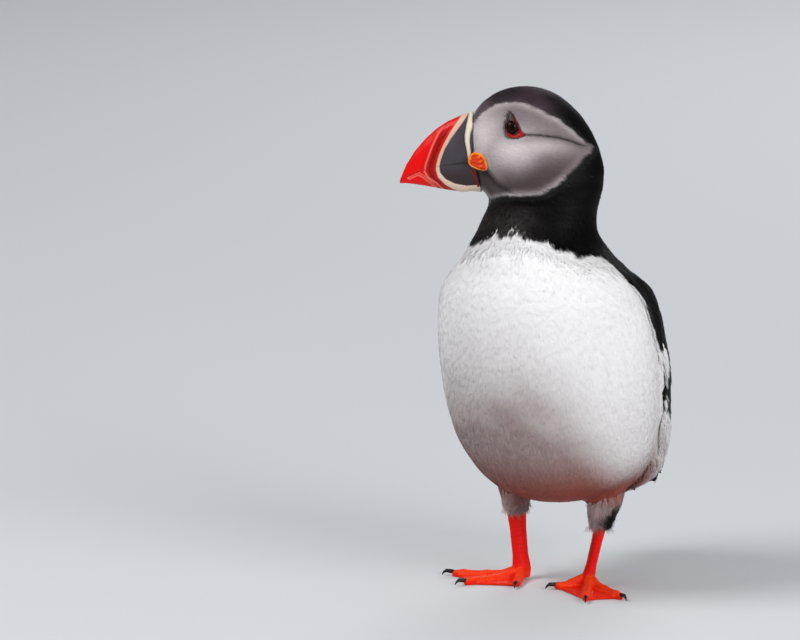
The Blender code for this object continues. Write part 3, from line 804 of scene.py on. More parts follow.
def strips(roots_uv, lines, normals, lengths, width, colours, tips, barbs, thin, lift, kind, cuts):
    """Adds tufts to the coat: strips for each line, fanned out to the width and tapering to a point, cut
    across at these shares of their length. Widths, thickness and lift are in millimetres."""
    count = len(lines)
    ahead = unit(lines[:, 1] - lines[:, 0])
    ahead_end = unit(lines[:, -1] - lines[:, -2])
    cuts = np.array(cuts)
    # Outer barbs are shorter, and no two end in quite the same place.
    share = (np.arange(barbs) + 0.5) / barbs * 2 - 1
    u = share[None, :] + rng.uniform(-0.35, 0.35, (count, barbs)) / barbs
    reach = (1 - 0.28 * u**2) * rng.uniform(0.82, 1.05, (count, barbs))
    t = reach[:, :, None] * cuts[None, None, :]
    centre, normal, _ = between(lines, normals, t)
    over = np.maximum(t - 1, 0)[..., None] * (lengths[:, None, None, None])
    centre = centre + over * ahead_end[:, None, None, :]
    heading = unit(ahead[:, None, None] * (1 - t[..., None]) + ahead_end[:, None, None] * t[..., None])
    side = unit(np.cross(normal, heading))
    # They fan out from the root, which is sunk a little, and lift off the skin towards the tip.
    fan = np.sin(np.clip(t, 0, 1) * 1.45) ** 0.8
    offset = (width * 0.5 * u)[..., None] * fan
    rise = lift[:, None, None] * (0.12 + 0.88 * np.sqrt(np.clip(t, 0, 1))) * (1 - 0.3 * u[..., None] ** 2)
    rise = rise + rng.uniform(-0.05, 0.08, (count, barbs, 1)) * t
    rise = rise - 0.25 * (cuts[None, None, :] == 0)
    centre = centre + side * (offset * MM)[..., None] + normal * (rise * MM)[..., None]
    # Each is flat, widest in its first half, turned a little to one side, and runs out to a point.
    girth = np.interp(cuts, (0, 0.3, 0.8, 1), (0.6, 1.0, 0.8, 0.0))
    half = thin * 0.5 * rng.uniform(0.75, 1.2, (count, barbs, 1)) * girth
    roll = rng.uniform(-0.22, 0.22, (count, barbs, 1)) * half * (0.4 if kind == "white" else 1)
    out = side * (half * MM)[..., None] + normal * (roll * MM)[..., None]
    levels = len(cuts)
    per = 2 * levels - 1  # points in one barb
    verts = np.empty((count, barbs, per, 3))
    verts[:, :, 0 : per - 1 : 2] = (centre - out)[:, :, :-1]
    verts[:, :, 1 : per - 1 : 2] = (centre + out)[:, :, :-1]
    verts[:, :, -1] = centre[:, :, -1]
    faces = []
    for k in range(levels - 2):
        a = 2 * k
        faces += [(a, a + 1, a + 3), (a, a + 3, a + 2)]
    a = 2 * (levels - 2)
    faces.append((a, a + 1, per - 1))
    faces = np.array(faces)
    base = (np.arange(count * barbs) * per)[:, None, None]
    all_faces = (faces[None] + base).reshape(-1, 3)
    along = np.append(np.repeat(cuts, 2)[: per - 1], 1.0)
    tone = rng.uniform(-1, 1, (count, barbs, 1, 1))
    share = along[None, None, :, None]
    paint = colours[:, None, None, :] * (1 - share) + tips[:, None, None, :] * share
    paint = paint * (1 + TONE_CHANGE.get(kind, 0.1) * tone)
    patch = np.empty((count, barbs, per, 2))
    patch[..., 0] = roots_uv[:, None, None, 0] + 0.0015 * u[..., None]
    patch[..., 1] = roots_uv[:, None, None, 1] + 0.003 * (along[None, None, :] - 0.5)
    outward = np.empty_like(verts)
    outward[:, :, 0 : per - 1 : 2] = normal[:, :, :-1]
    outward[:, :, 1 : per - 1 : 2] = normal[:, :, :-1]
    outward[:, :, -1] = normal[:, :, -1]
    add_to_coat(kind, verts, all_faces, paint, patch, outward)
    return len(all_faces)


# %% Whole feathers
def vanes(roots_uv, lines, normals, lengths, widths, colours, pairs, thin, lift, point=0.45):
    """Adds whole feathers: a shaft along each line with barbs to both sides that close into a vane."""
    count = len(lines)
    start = np.linspace(0.03, 0.93, pairs)[None, :] + rng.uniform(-0.4, 0.4, (count, pairs)) * 0.9 / pairs
    start = np.clip(start, 0.01, 0.97)
    end = np.minimum(start * 0.92 + 0.13, 1.02)
    past_widest = np.abs(end - point) / (1.03 - point * np.where(end < point, -0.1, 1))
    edge = np.sqrt(np.clip(1 - past_widest**4, 0, 1))
    for sign in (-1, 1):
        # A barb has three places: at the shaft, past the middle, and at the edge, where it droops.
        total = []
        for part_way, tall in ((0.0, 0.22), (0.55, 0.16), (1.0, -0.06)):
            t = start * (1 - part_way) + end * part_way
            place, normal, heading = between(lines, normals, t)
            side = np.cross(normal, heading)
            out = sign * part_way * edge * widths[:, None] * 0.5
            rise = lift[:, None] * (0.25 + 0.75 * np.clip(t * 2, 0, 1)) + tall
            rise = rise + rng.uniform(-0.03, 0.03, (count, pairs))
            total.append((place + side * (out * MM)[..., None] + normal * (rise * MM)[..., None], normal))
        run = lengths[:, None] / MM * 0.92 / pairs * thin
        half = (0.5 * run * MM)[..., None]
        ahead = unit(lines[:, -1] - lines[:, 0])[:, None, :]
        verts = np.empty((count, pairs, 6, 3))
        for k, girth in enumerate((0.9, 1.1, 0.55)):
            verts[:, :, 2 * k] = total[k][0] - ahead * half * girth
            verts[:, :, 2 * k + 1] = total[k][0] + ahead * half * girth
        quads = [(0, 1, 3), (0, 3, 2), (2, 3, 5), (2, 5, 4)]
        if sign > 0:
            quads = [q[::-1] for q in quads]
        base = (np.arange(count * pairs) * 6)[:, None, None]
        faces = (np.array(quads)[None] + base).reshape(-1, 3)
        tone = 1 + 0.12 * rng.uniform(-1, 1, (count, pairs, 1, 1))
        rim = np.array((0.9, 0.9, 1.0, 1.0, 1.35, 1.35))[None, None, :, None]
        paint = colours[:, None, None, :] * tone * rim
        patch = np.empty((count, pairs, 6, 2))
        across = np.repeat(np.array((0, 0.55, 1.0)), 2) * sign
        patch[..., 0] = roots_uv[:, None, None, 0] + 0.0015 * across
        patch[..., 1] = roots_uv[:, None, None, 1] + 0.003 * (start[..., None] - 0.5)
        outward = np.stack([total[k // 2][1] for k in range(6)], 2)
        add_to_coat("black", verts, faces, paint, patch, outward)
    # The shaft is a low ridge that thins towards the tip.
    shaft_t = np.linspace(0, 0.96, 7)[None, :].repeat(count, 0)
    place, normal, heading = between(lines, normals, shaft_t)
    side = np.cross(normal, heading)
    girth = np.linspace(0.3, 0.08, 7)[None, :, None] * np.minimum(widths[:, None, None] / 7, 1)
    rise = lift[:, None] * (0.25 + 0.75 * np.clip(shaft_t * 2, 0, 1)) + 0.3
    top = place + normal * (rise * MM)[..., None]
    verts = np.empty((count, 7, 3, 3))
    verts[:, :, 0] = top - side * girth * MM - normal * 0.12 * MM
    verts[:, :, 1] = top + normal * 0.02 * MM
    verts[:, :, 2] = top + side * girth * MM - normal * 0.12 * MM
    quads = []
    for k in range(6):
        for a in (0, 1):
            i, j = 3 * k + a, 3 * k + a + 1
            quads += [(i, j, j + 3), (i, j + 3, i + 3)]
    base = (np.arange(count) * 21)[:, None, None]
    faces = (np.array(quads)[None] + base).reshape(-1, 3)
    paint = np.repeat(colours[:, None, :] * 0.7, 21, 1)
    patch = np.repeat(roots_uv[:, None, :], 21, 1)
    add_to_coat("black", verts, faces, paint, patch, np.repeat(normal, 3, 1))
    return count * (pairs * 8 + 24)


# %% Cover a stretch of skin
def scatter(wanted, per_square_mm):
    """Even-ish random roots on the wanted triangles: place, unwrap place, part, heading."""
    chosen = np.flatnonzero(wanted)
    area = tri_area[chosen] * 1e6 * per_square_mm
    many = int(area.sum())
    ends = np.cumsum(area)
    # One root to each equal share of the area, at a random place in it.
    where = (np.arange(many) + rng.uniform(0, 1, many)) * (ends[-1] / many)
    tri = chosen[np.minimum(np.searchsorted(ends, where), len(chosen) - 1)]
    a, b = rng.uniform(0, 1, many), rng.uniform(0, 1, many)
    flip = a + b > 1
    a, b = np.where(flip, 1 - a, a), np.where(flip, 1 - b, b)
    weights = np.stack([1 - a - b, a, b], 1)[..., None]
    place = (co[tri_verts[tri]] * weights).sum(1)
    spot = (uv[tri_loops[tri]] * weights).sum(1)
    way = (lie[tri_verts[tri]] * weights).sum(1)
    return place, spot, tri_part[tri], way


def beyond(lines):
    """How far the end of each line has left the skin."""
    return np.array([skin_tree.find_nearest(Vector(p))[3] for p in lines[:, -1]])


LONG_CUTS, SHORT_CUTS = (0, 0.4, 0.78, 1), (0, 0.55, 1)
FREE_BELOW = 100 * MM  # height up to which tufts may hang free at an edge
PALE = 0.3  # a tuft brighter than this goes with the white ones


def cover(
    stretch, wanted, density, size, barbs, thin, lift, stray, cuts=LONG_CUTS, free=False, off=1.5, kind=None
):
    """Lays tufts of this length and width over the wanted triangles, so many to a square millimetre. Free
    tufts run straight on at an edge low on the body, but not further off it than off."""
    length, width = size
    place, spot, labels, way = scatter(wanted, density)
    many = len(place)
    way = unit(way + rng.normal(0, stray, (many, 3)))
    lengths = length * rng.uniform(0.8, 1.2, many)
    lines, normals = walk(place, way, lengths * MM, 2, free & (place[:, 2] < FREE_BELOW))
    keep = beyond(lines) < off * MM
    spot, labels, lengths, lines, normals = (a[keep] for a in (spot, labels, lengths, lines, normals))
    many = len(lines)
    root_colour = markings(lines[:, 0] * 0.4 + lines[:, 1] * 0.6, labels)
    colour = markings(lines[:, 1] * 0.45 + lines[:, 2] * 0.55, labels)
    bright = colour.mean(1)
    shade = 1 + rng.normal(0, 1, (many, 1)) * np.where(bright > PALE, 0.012, 0.035)[:, None]
    colour = colour * shade
    lifts = np.full(many, lift) * rng.uniform(0.88, 1.12, many)
    lifts = lifts * np.where(bright - root_colour.mean(1) > 0.2, 0.7, 1)
    root_colour = colour * 0.8 + root_colour * 0.2 * shade
    kinds = np.where(bright > PALE, "white", "black") if kind is None else np.full(many, kind)
    total = 0
    for kind in np.unique(kinds):
        pick = kinds == kind
        total += strips(
            spot[pick], lines[pick], normals[pick], lengths[pick] * MM, width,
            root_colour[pick], colour[pick], barbs, thin, lifts[pick], kind, cuts,
        )
    print(stretch, many, "tufts,", total, "triangles")


# %% [markdown]
# ### Feathers of head and body
# Face feathers are the shortest and densest, breast feathers long and close, and those of flank, vent and
# thigh loose and ragged. One even coat would look like felt, so each stretch is covered on its own, with
# tufts a few times coarser than in life: fine enough to read as plumage, coarse enough to keep as a mesh.

# %% Feathers of head and body
mid = tri_places.mean(1)
f, l, u = head_place(mid)
v = mark_height(l, u)
headish, trunk = is_part(tri_part, "head", "neck"), is_part(tri_part, "trunk")
wing, thigh = is_part(tri_part, "wing"), is_part(tri_part, "thigh")
in_face = headish & (inside(FACE, f, v) > -1.5) & (u > 176) & (np.abs(l) > 2)
near_eye = (inside(RING, f - EYE[0], v - EYE_MARK) > -0.1) & (np.abs(l) > 6)
at_gape = (inside(ROSETTE, f, u) > -0.2) & (np.abs(l) > 5)
under_bill = (f > 34.0) & (u > 188) & headish
on_crown = headish & ~in_face & ~under_bill & (u > 188)
low_neck = headish & ~in_face & (u <= 188)
feathered_face = in_face & ~near_eye & ~at_gape & ~under_bill
cover("face", feathered_face, 2.9, (3.0, 0.8), 4, 0.13, 0.5, 0.08, SHORT_CUTS, kind="face")
cover("crown", on_crown, 1.7, (4.2, 1.3), 5, 0.18, 0.65, 0.1, SHORT_CUTS, kind="crown")

pale = white_amount(mid) + rng.normal(0, 2.5, len(mid))
behind = mid[:, 1] > 30 * MM
at_border = (low_neck | trunk & ~behind) & (pale > -5) & (pale <= 3)
over_wing_edge = wing & (over_wing(mid) > -2)
at_vent = trunk & (mid[:, 2] < 60 * MM) & (mid[:, 1] > 14 * MM) & (mid[:, 1] < 52 * MM)
on_back = trunk & (pale <= -5) | trunk & behind & (pale <= 3)
low_thigh = thigh & (mid[:, 2] < 44 * MM)
cover("collar", low_neck & (pale <= -5), 1.2, (4.8, 1.9), 5, 0.28, 1.3, 0.12)
cover("border", at_border, 2.6, (3.5, 1.25), 5, 0.27, 1.05, 0.12, SHORT_CUTS)
cover("breast", (low_neck | trunk) & (pale > 3), 0.7, (9.5, 3.7), 7, 0.52, 0.34, 0.07)
cover("flank over the wing", over_wing_edge, 0.9, (8.5, 3.4), 7, 0.42, 1.7, 0.16)
cover("loose vent tufts", at_vent, 0.3, (9.0, 3.4), 6, 0.26, 2.4, 0.3)
cover("back", on_back, 0.45, (10.0, 5.0), 8, 0.5, 1.6, 0.08, free=True)
cover("thighs", thigh, 1.1, (6.5, 2.4), 6, 0.3, 1.4, 0.22, free=True, off=3)
cover("loose thigh tufts", low_thigh, 0.5, (8.5, 3.2), 6, 0.2, 2.0, 0.34, free=True, off=4.5)
cover("tail", is_part(tri_part, "tail"), 0.4, (8.0, 4.5), 6, 0.6, 0.4, 0.05, free=True)

# %% [markdown]
# ### Wings and tail
# Over the wing lie rows of small rounded covert feathers, and from under them come the long, stiff
# flight feathers: a shaft with a vane to each side, each overlapping the next. Flat cards with a picture
# of a feather would do from afar, but here each barb is a strip, so the vanes split and shine as real ones.

# %% Coverts
COVERTS_FREE_BELOW = 90 * MM  # higher up, coverts stay on the skin
place, spot, _, way = scatter(wing & (over_wing(mid) < 1), 0.2)
lengths = rng.uniform(7.5, 10.5, len(place)) * MM
way = unit(way + rng.normal(0, 0.05, way.shape))
lines, normals = walk(place, way, lengths, 3, place[:, 2] < COVERTS_FREE_BELOW)
keep = beyond(lines) < 0.8 * MM
spot, lengths, lines, normals = spot[keep], lengths[keep], lines[keep], normals[keep]
ink = linear("#100e0f") * rng.normal(1, 0.1, (len(lines), 1))
widths, lifts = rng.uniform(5.2, 6.4, len(lines)), rng.uniform(0.5, 0.9, len(lines))
made = vanes(spot, lines, normals, lengths, widths, ink, 11, 1.9, lifts)
print("coverts", len(lines), "feathers,", made, "triangles")


# %% Flight and tail feathers
def long_feathers(row, feathers, tone):
    """Long feathers over the skin, each given by its start, end, lift and width in millimetres."""
    starts, ends, lifts, widths = (np.array(column) for column in zip(*feathers))
    starts, ends = starts * MM, ends * MM
    lengths = np.linalg.norm(ends - starts, axis=1)
    found = [skin_tree.find_nearest(Vector(p)) for p in starts]
    spots = uv[tri_loops[[hit[2] for hit in found]]].mean(1)
    lines, normals = walk([hit[0] for hit in found], unit(ends - starts), lengths, 9, free=True)
    shades = tone * rng.normal(1, 0.08, (len(starts), 1))
    made = vanes(spots, lines, normals, lengths, widths, shades, 90, 1.7, lifts, 0.5)
    print(row, len(starts), "feathers,", made, "triangles")


def on_wing(sign, s, across):
    """A place just outside the folded wing: s from shoulder to tip, across from -1 low to 1 high."""
    shares = np.linspace(0, 1, len(WING_LINE))
    spot, before, after = (
        np.array([np.interp(at, shares, WING_LINE[:, k]) for k in range(3)]) for at in (s, s - 0.05, s + 0.05)
    )
    wide = unit(np.cross(np.array((1.0, 0, 0)), unit(after - before)))
    spot = spot + wide * (across * np.interp(s, shares, WING_HALF)) + np.array((7.0, 0, 0))
    return spot * np.array((sign, 1, 1)) + STAND


for sign in (1, -1):
    # The long primaries reach the tip; the secondaries lie over them and end further up.
    flight = []
    for i in range(9):
        start = on_wing(sign, 0.55 + 0.012 * i, -0.3 + 0.12 * i)
        end = on_wing(sign, 1.0 - 0.035 * i, -0.2 + 0.08 * i)
        flight.append((start, end, 0.3 + 0.08 * i, 7.5))
    for i in range(10):
        start = on_wing(sign, 0.36 + 0.015 * i, -0.1 + 0.09 * i)
        end = on_wing(sign, 0.72 - 0.012 * i, -0.2 + 0.11 * i)
        flight.append((start, end, 0.6 + 0.08 * i, 8.0))
    long_feathers("flight feathers", flight, linear("#171314"))

tail = []
for i in (-5, 5, -4, 4, -3, 3, -2, 2, -1, 1, 0):
    behind_tail = Vector(((i * 1.3 + STAND[0]) * MM, 0.2, 58 * MM))
    start = np.array(skin_tree.ray_cast(behind_tail, Vector((0, -1, 0)))[0]) / MM
    end = np.array((i * 2.3, 79 - 0.25 * abs(i), 36.5)) + STAND
    tail.append((start, end, 1.0 - 0.14 * abs(i), 7.5))
long_feathers("tail feathers", tail, linear("#121011"))

# %% [markdown]
# ### Gather the coat into pieces
# One object for each tuft would be far too many, and one mesh for all would be too heavy to handle, so
# tufts of a kind are joined into a few meshes. Strips that catch the light each in its own way look like
# straw, where real barbs hook together, so their shading leans towards that of the skin beneath.

# %% Gather the coat into pieces
FINISH = {"white": (FEATHER_WHITE, "feathers_white"), "face": (FEATHER_GREY, "feathers_grey")}
CALM, OTHER_CALM = {"white": 0.88}, 0.4  # the skin's share in the shading of each kind
MOST_TRIANGLES = 180000  # in one piece
for kind, groups in coat.items():
    verts = np.concatenate([g[0] for g in groups])
    colours = np.concatenate([g[2] for g in groups])
    spots = np.concatenate([g[3] for g in groups])
    shift, faces = 0, []
    for g in groups:
        faces.append(g[1] + shift)
        shift += len(g[0])
    faces = np.concatenate(faces)
    outward = np.concatenate([g[4] for g in groups])
    across = np.cross(verts[faces[:, 1]] - verts[faces[:, 0]], verts[faces[:, 2]] - verts[faces[:, 0]])
    inward = (across * outward[faces].sum(1)).sum(1) < 0
    faces[inward] = faces[inward][:, ::-1]
    across[inward] *= -1
    own = np.stack([np.bincount(faces.ravel(), np.repeat(across[:, k], 3), len(verts)) for k in range(3)], 1)
    share = CALM.get(kind, OTHER_CALM)
    shading = unit(unit(own) * (1 - share) + outward * share)
    pieces = math.ceil(len(faces) / MOST_TRIANGLES)
    edges_at = np.linspace(0, len(faces), pieces + 1).astype(int)
    for number in range(pieces):
        some = faces[edges_at[number] : edges_at[number + 1]]
        used, renumbered = np.unique(some, return_inverse=True)
        renumbered = renumbered.reshape(-1, 3)
        name = f"coat_{kind}_{number + 1}"
        mesh = bpy.data.meshes.new(name)
        mesh.vertices.add(len(used))
        mesh.vertices.foreach_set("co", verts[used].astype(np.float32).ravel())
        mesh.loops.add(len(some) * 3)
        mesh.loops.foreach_set("vertex_index", renumbered.ravel().astype(np.int32))
        mesh.polygons.add(len(some))
        mesh.polygons.foreach_set("loop_start", np.arange(0, len(some) * 3, 3, dtype=np.int32))
        mesh.update(calc_edges=True)
        mesh.shade_smooth()
        layer = mesh.uv_layers.new(name="OFBake")
        layer.data.foreach_set("uv", spots[used][renumbered.ravel()].astype(np.float32).ravel())
        set_colours(mesh, colours[used])
        piece = add_object(name, mesh)
        finish, slot_name = FINISH.get(kind, (FEATHER_BLACK, "feathers_black"))
        mesh.materials.append(finish)
        mesh.normals_split_custom_set_from_vertices(shading[used])
        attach(piece, "root")
        print(name, len(some), "triangles")

# %% [markdown]
# ## Legs and feet
# The shanks and toes are wrapped in small plates: a row of broad scutes down the front of the shank and
# along the top of each toe, and a net of fine scales elsewhere. The webs are thin, soft and wrinkled. They
# are melted finer than the body, since webs are only a millimetre thick. Scutes could be cut one by one;
# a wave along each toe raises them all alike, and the finish adds the net of scales.

# %% Shape the legs and feet
ANKLES = {"left": (13.2, 8), "right": (-21.6, 8)}
# Heading in degrees and length of the inner, middle and outer toe.
TOES = {"left": ((-42, 23), (24, 38), (55, 38)), "right": ((18, 24), (-37, 36), (-73, 39))}
TOE_SCUTE, SHANK_SCUTE, SCUTE_RISE = 1.75, 2.1, 0.1
KNUCKLES = (0.42, 0.7)
bare = melted(BARE, "bare", 0.12, 0.52, 3)
leg_co, leg_no, _ = arrays(bare.data)
x, y, z = (leg_co / MM - STAND).T
move, crack = np.zeros(len(x)), np.zeros(len(x))
web = np.ones(len(x), bool)
for side in ("left", "right"):
    ankle = ANKLES[side]
    mine = (x > -4) if side == "left" else (x <= -4)
    for heading, length in TOES[side]:
        way = (math.sin(math.radians(heading)), -math.cos(math.radians(heading)))
        along = (x - ankle[0]) * way[0] + (y - ankle[1]) * way[1]
        across = np.abs((x - ankle[0]) * way[1] - (y - ankle[1]) * way[0])
        on_toe = mine & (across < 2.4) & (along > 2) & (z > 1.6) & (z < 7)
        wave = np.abs(np.sin(math.pi * along / TOE_SCUTE))
        knuckle = sum(np.exp(-(((along - length * s) / 1.6) ** 2)) for s in KNUCKLES)
        move = np.where(on_toe, SCUTE_RISE * (wave**0.5 - 0.8) + 0.35 * knuckle, move)
        crack = np.where(on_toe, np.maximum(crack, 1 - wave**0.4), crack)
        web &= ~(mine & (across < 2.6))
    shank = (z > 7.5) & mine
    wave = np.abs(np.sin(math.pi * z / SHANK_SCUTE))
    front = shank & (leg_no[:, 1] < -0.25)
    move = np.where(front, SCUTE_RISE * (wave**0.5 - 0.8), move)
    crack = np.where(front, 1 - wave**0.4, crack)
    web &= ~shank
wrinkle = drift(leg_co, 2.2)
move = np.where(web & (leg_no[:, 2] > 0.3), 0.1 * wrinkle, move)
move = np.where(z < 0.4, 0, move)
leg_co = leg_co + leg_no * (move * MM)[:, None]
leg_co[:, 2] = np.maximum(leg_co[:, 2], 0.0)
set_places(bare.data, leg_co)
print("scutes raised", round(move.max(), 2), "mm at most")

# %% Paint the legs and join them to the skin
leg_red, leg_orange, leg_deep = linear("#e80c02"), linear("#f62802"), linear("#9a0e03")
leg_colour = blend(np.tile(leg_red, (len(x), 1)), leg_orange, eased(9, 3, z) * 0.8)
# Painted highlight: lighter orange on the upward-facing tops of the toes.
toe_top_highlight = ~web & (z < 7) & (leg_no[:, 2] > 0.5)
leg_colour = blend(leg_colour, linear("#ff5a1c"), 0.4 * toe_top_highlight)
leg_colour = blend(leg_colour, leg_deep, 0.3 * np.clip(crack, 0, 1))
leg_colour = blend(leg_colour, leg_deep, 0.25 * np.clip(wrinkle, 0, 1) * web)
set_colours(bare.data, leg_colour)
unwrap(bare)
skin.data.materials.append(FEATHER_WHITE)
bare.data.materials.append(LEG_SKIN)
only(skin)
bare.select_set(True)
bpy.ops.object.join()
skin.data.shade_smooth()
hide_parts(*FLESH, *BARE)
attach(skin, "root")
print("skin with legs", len(skin.data.polygons), "faces")

# %% [markdown]
# ## Bill
# The bill is deep, narrow and banded: a raised cream strip at its base, a slate plate, a raised pale band
# in a V, and a red tip with grooves. Each band could be a plate of its own, but in life they are one horn,
# so the two halves are melted fine and the outlines below raise the bands, press in the grooves and choose
# the paint.

# %% Outlines on the bill
CREAM_STRIP = [
    (34.2, 234), (34.2, 229.1), (34.8, 226.1), (35.8, 222.0), (36.5, 217.9), (36.5, 215.2), (35.8, 211.8),
    (34.9, 206.5), (33.4, 206.5), (33.6, 209.2), (34.0, 211.9), (34.3, 215.3), (33.9, 218.7),
    (32.7, 222.1), (32.0, 226.1), (32.6, 229.1), (32.6, 234),
]
BAND_FRONT = [
    (34.6, 236), (35.0, 230.0), (38.2, 226.0), (41.2, 221.9), (43.9, 217.7), (46.5, 212.9), (48.5, 208.1),
    (49.6, 204.0), (49.8, 201.3), (48.8, 197.9), (45.5, 194.3), (42.2, 192.2), (38.0, 190), (30.0, 188),
]
BAND_BACK = [
    (33.4, 236), (34.4, 227.5), (39.6, 220.6), (43.2, 215.7), (45.9, 210.9), (47.6, 206.1), (48.3, 202.7),
    (47.8, 200.0), (45.3, 197.0), (40.9, 194.8), (35.6, 193.9), (31.6, 194.2), (26.0, 194.4),
]
BAND = BAND_FRONT + BAND_BACK[::-1]
TIP = BAND_FRONT + [(70, 180), (80, 236)]
GROOVE = [
    (43.5, 225.0), (45.9, 221.6), (48.8, 218.2), (51.4, 212.7), (53.1, 207.9), (54.5, 203.8), (55.1, 200.4),
    (53.5, 197.8), (49.5, 194.9), (46.0, 191.0),
]
DARK_GROOVE = [
    (42.0, 222.5), (44.5, 218.9), (46.7, 215.8), (49.5, 210.8), (51.4, 206.6), (52.8, 203.2), (53.2, 200.5),
    (51.6, 197.8), (47.8, 194.6),
]
LOWER_FOLD = [(62.1, 197.0), (58.1, 199.2), (55.6, 198.0), (52.1, 195.1), (50, 193)]
MOUTH = [
    (66.9, 194.9), (62.8, 198.1), (58, 200.3), (55.5, 201.0), (48.8, 202.9), (42.2, 204.6), (35.6, 206.0),
    (28, 207.2),
]
LOW_BASE = [(33.3, 202.5), (31.6, 198.4), (30.3, 194.0)]
print("the band has", len(BAND), "corners")

# %% Raise the bands and press in the grooves
STRIP_RISE, BAND_RISE = 0.6, 0.32  # millimetres


def on_bill(half, places):
    """Where points of the bill lie: forward and up, whether off its ridges, how far inside strip, band and
    tip, and how far from both grooves and the mouth."""
    f, l, u = head_place(places)
    side_on = eased(0.8, 2.2, np.abs(l)) * eased(223, 217, u)
    strip = inside(CREAM_STRIP, f, u) if half == "bill_upper" else np.full(len(f), -9.0)
    lines = (line_distance(line, f, u) for line in (GROOVE, DARK_GROOVE, MOUTH))
    return f, u, side_on, np.abs(l) > 0.4, strip, inside(BAND, f, u), inside(TIP, f, u), *lines


def shape_bill(half, places, normals):
    """Places of the bill's points with its bands raised and its grooves pressed in."""
    f, u, side_on, sideways, strip, band, tip, groove, dark, mouth = on_bill(half, places)
    move = STRIP_RISE * np.sqrt(eased(-0.15, 0.9, strip))
    move += BAND_RISE * np.sqrt(eased(-0.15, 0.6, band))
    move -= 0.30 * np.exp(-((groove / 0.32) ** 2)) * eased(0, 1, tip) * side_on
    move -= 0.22 * np.exp(-((dark / 0.3) ** 2)) * eased(0, 1, tip) * side_on
    move += 0.14 * np.exp(-(((groove - 0.9) / 0.4) ** 2)) * eased(0, 1, tip) * side_on
    move -= 0.08 * np.exp(-((mouth / 0.3) ** 2)) * sideways
    if half == "bill_lower":
        move -= 0.2 * np.exp(-((line_distance(LOWER_FOLD, f, u) / 0.3) ** 2))
    growth = np.sin(f * 5.2 + 0.7 * u) * np.sin(f * 1.7 - 0.5 * u)
    move += 0.03 * growth * eased(0.5, 1.5, -tip)
    closed = (0.4 if half == "bill_lower" else -0.4) * np.exp(-((mouth / 0.6) ** 2))
    return places + UP * (closed * MM)[:, None] + normals * (move * MM)[:, None]


# %% Paint the bill
RED, DEEP_RED, BRIGHT_RED = linear("#dc0603"), linear("#760603"), linear("#f20402")
SLATE, SLATE_LIGHT = linear("#454046"), linear("#5d5860")
CREAM, CREAM_EDGE, PEACH = linear("#d2c5b0"), linear("#ebe0cd"), linear("#dcb49c")


def paint_bill(half, places):
    """The colour of the bill at points that haven't been moved yet."""
    f, u, side_on, sideways, strip, band, tip, groove, dark, mouth = on_bill(half, places)
    colour = np.tile(SLATE, (len(f), 1))
    colour = blend(colour, SLATE_LIGHT, 0.5 * eased(206, 222, u) * eased(38, 44, f))
    if half == "bill_lower":
        colour = blend(colour, linear("#382a2b"), 0.9 * eased(204, 198, u))
    colour = blend(colour, linear("#2b2629"), 0.7 * np.exp(-(((strip + 0.35) / 0.35) ** 2)))
    colour = blend(colour, RED, eased(-0.12, 0.12, tip))
    # Painted shade: the red beside the pale band turns darker lower down, towards the mouth.
    shade_near_band = eased(2.8, 1.2, tip) * eased(-0.1, 0.1, tip)
    colour = blend(colour, linear("#a52408"), 0.6 * shade_near_band * eased(218, 206, u))
    colour = blend(colour, BRIGHT_RED, 0.6 * eased(0.8, 2.5, groove) * eased(4, 7, tip))
    between_grooves = eased(0.5, 0.9, groove) * eased(4.6, 3.2, tip) * eased(0.6, 1.6, tip)
    colour = blend(colour, DEEP_RED, 0.6 * between_grooves * side_on)
    colour = blend(colour, DEEP_RED, 0.9 * np.exp(-((dark / 0.42) ** 2)) * eased(0, 0.6, tip) * side_on)
    # Painted highlight: a pinkish pale line along the groove, where light catches its edge.
    groove_highlight = np.exp(-((groove / 0.3) ** 2)) * eased(0.2, 1, tip)
    colour = blend(colour, linear("#ee8f80"), 0.8 * groove_highlight * side_on)
    colour = blend(colour, PEACH, eased(-0.14, 0.14, band))
    colour = blend(colour, CREAM_EDGE, 0.5 * eased(206, 196, u) * eased(-0.1, 0.2, band))
    # The cream strip is lighter in its middle, with painted shade along its edges.
    colour = blend(colour, CREAM, eased(-0.14, 0.14, strip))
    colour = blend(colour, CREAM_EDGE, 0.7 * eased(0.2, 0.9, strip))
    if half == "bill_lower":
        colour = blend(colour, linear("#7a0f08"), eased(0.7, 0.4, line_distance(LOW_BASE, f, u)))
        fold = np.exp(-(((line_distance(LOWER_FOLD, f, u) - 0.5) / 0.3) ** 2))
        colour = blend(colour, linear("#eb9a86"), 0.5 * fold * (tip > 0.5))
    # Painted shade in the slit of the mouth: a dark line where the halves meet.
    mouth_shade = np.where(tip[:, None] > 0, linear("#8c130a"), linear("#2a2225"))
    mouth_shade = np.where(band[:, None] > 0, linear("#a87c66"), mouth_shade)
    return blend(colour, mouth_shade, 0.8 * np.exp(-((mouth / 0.28) ** 2)) * sideways)


# %% Make both halves of the bill
HORN_VOXEL = 0.3  # millimetres, fine enough for the grooves
horn_trees = []
for half in ("bill_upper", "bill_lower"):
    piece = melted([half], half + "_horn", 0.12, HORN_VOXEL, 5)
    places, normals, _ = arrays(piece.data)
    set_places(piece.data, shape_bill(half, places, normals))
    horn_trees.append(tree_of(piece.data))
    finish_piece(piece, paint_bill(half, places), HORN, "bill_horn", half)

# %% [markdown]
# ## Gape rosettes
# At the corner of the mouth a soft, wrinkled, orange rosette folds like a little fan. A flattened ball
# wouldn't follow the steps between skin and horn, so it is raised from the side of the head as a low
# cushion between nested outlines, and its ribs are pressed in afterwards. Eye ring and plates are made
# in the same way.

# %% Low shapes on the side of the head
SADDLE = ((28, 34, 40), (0, 8.4, 7.8))  # the least that a rosette stands out to the side, along the bill


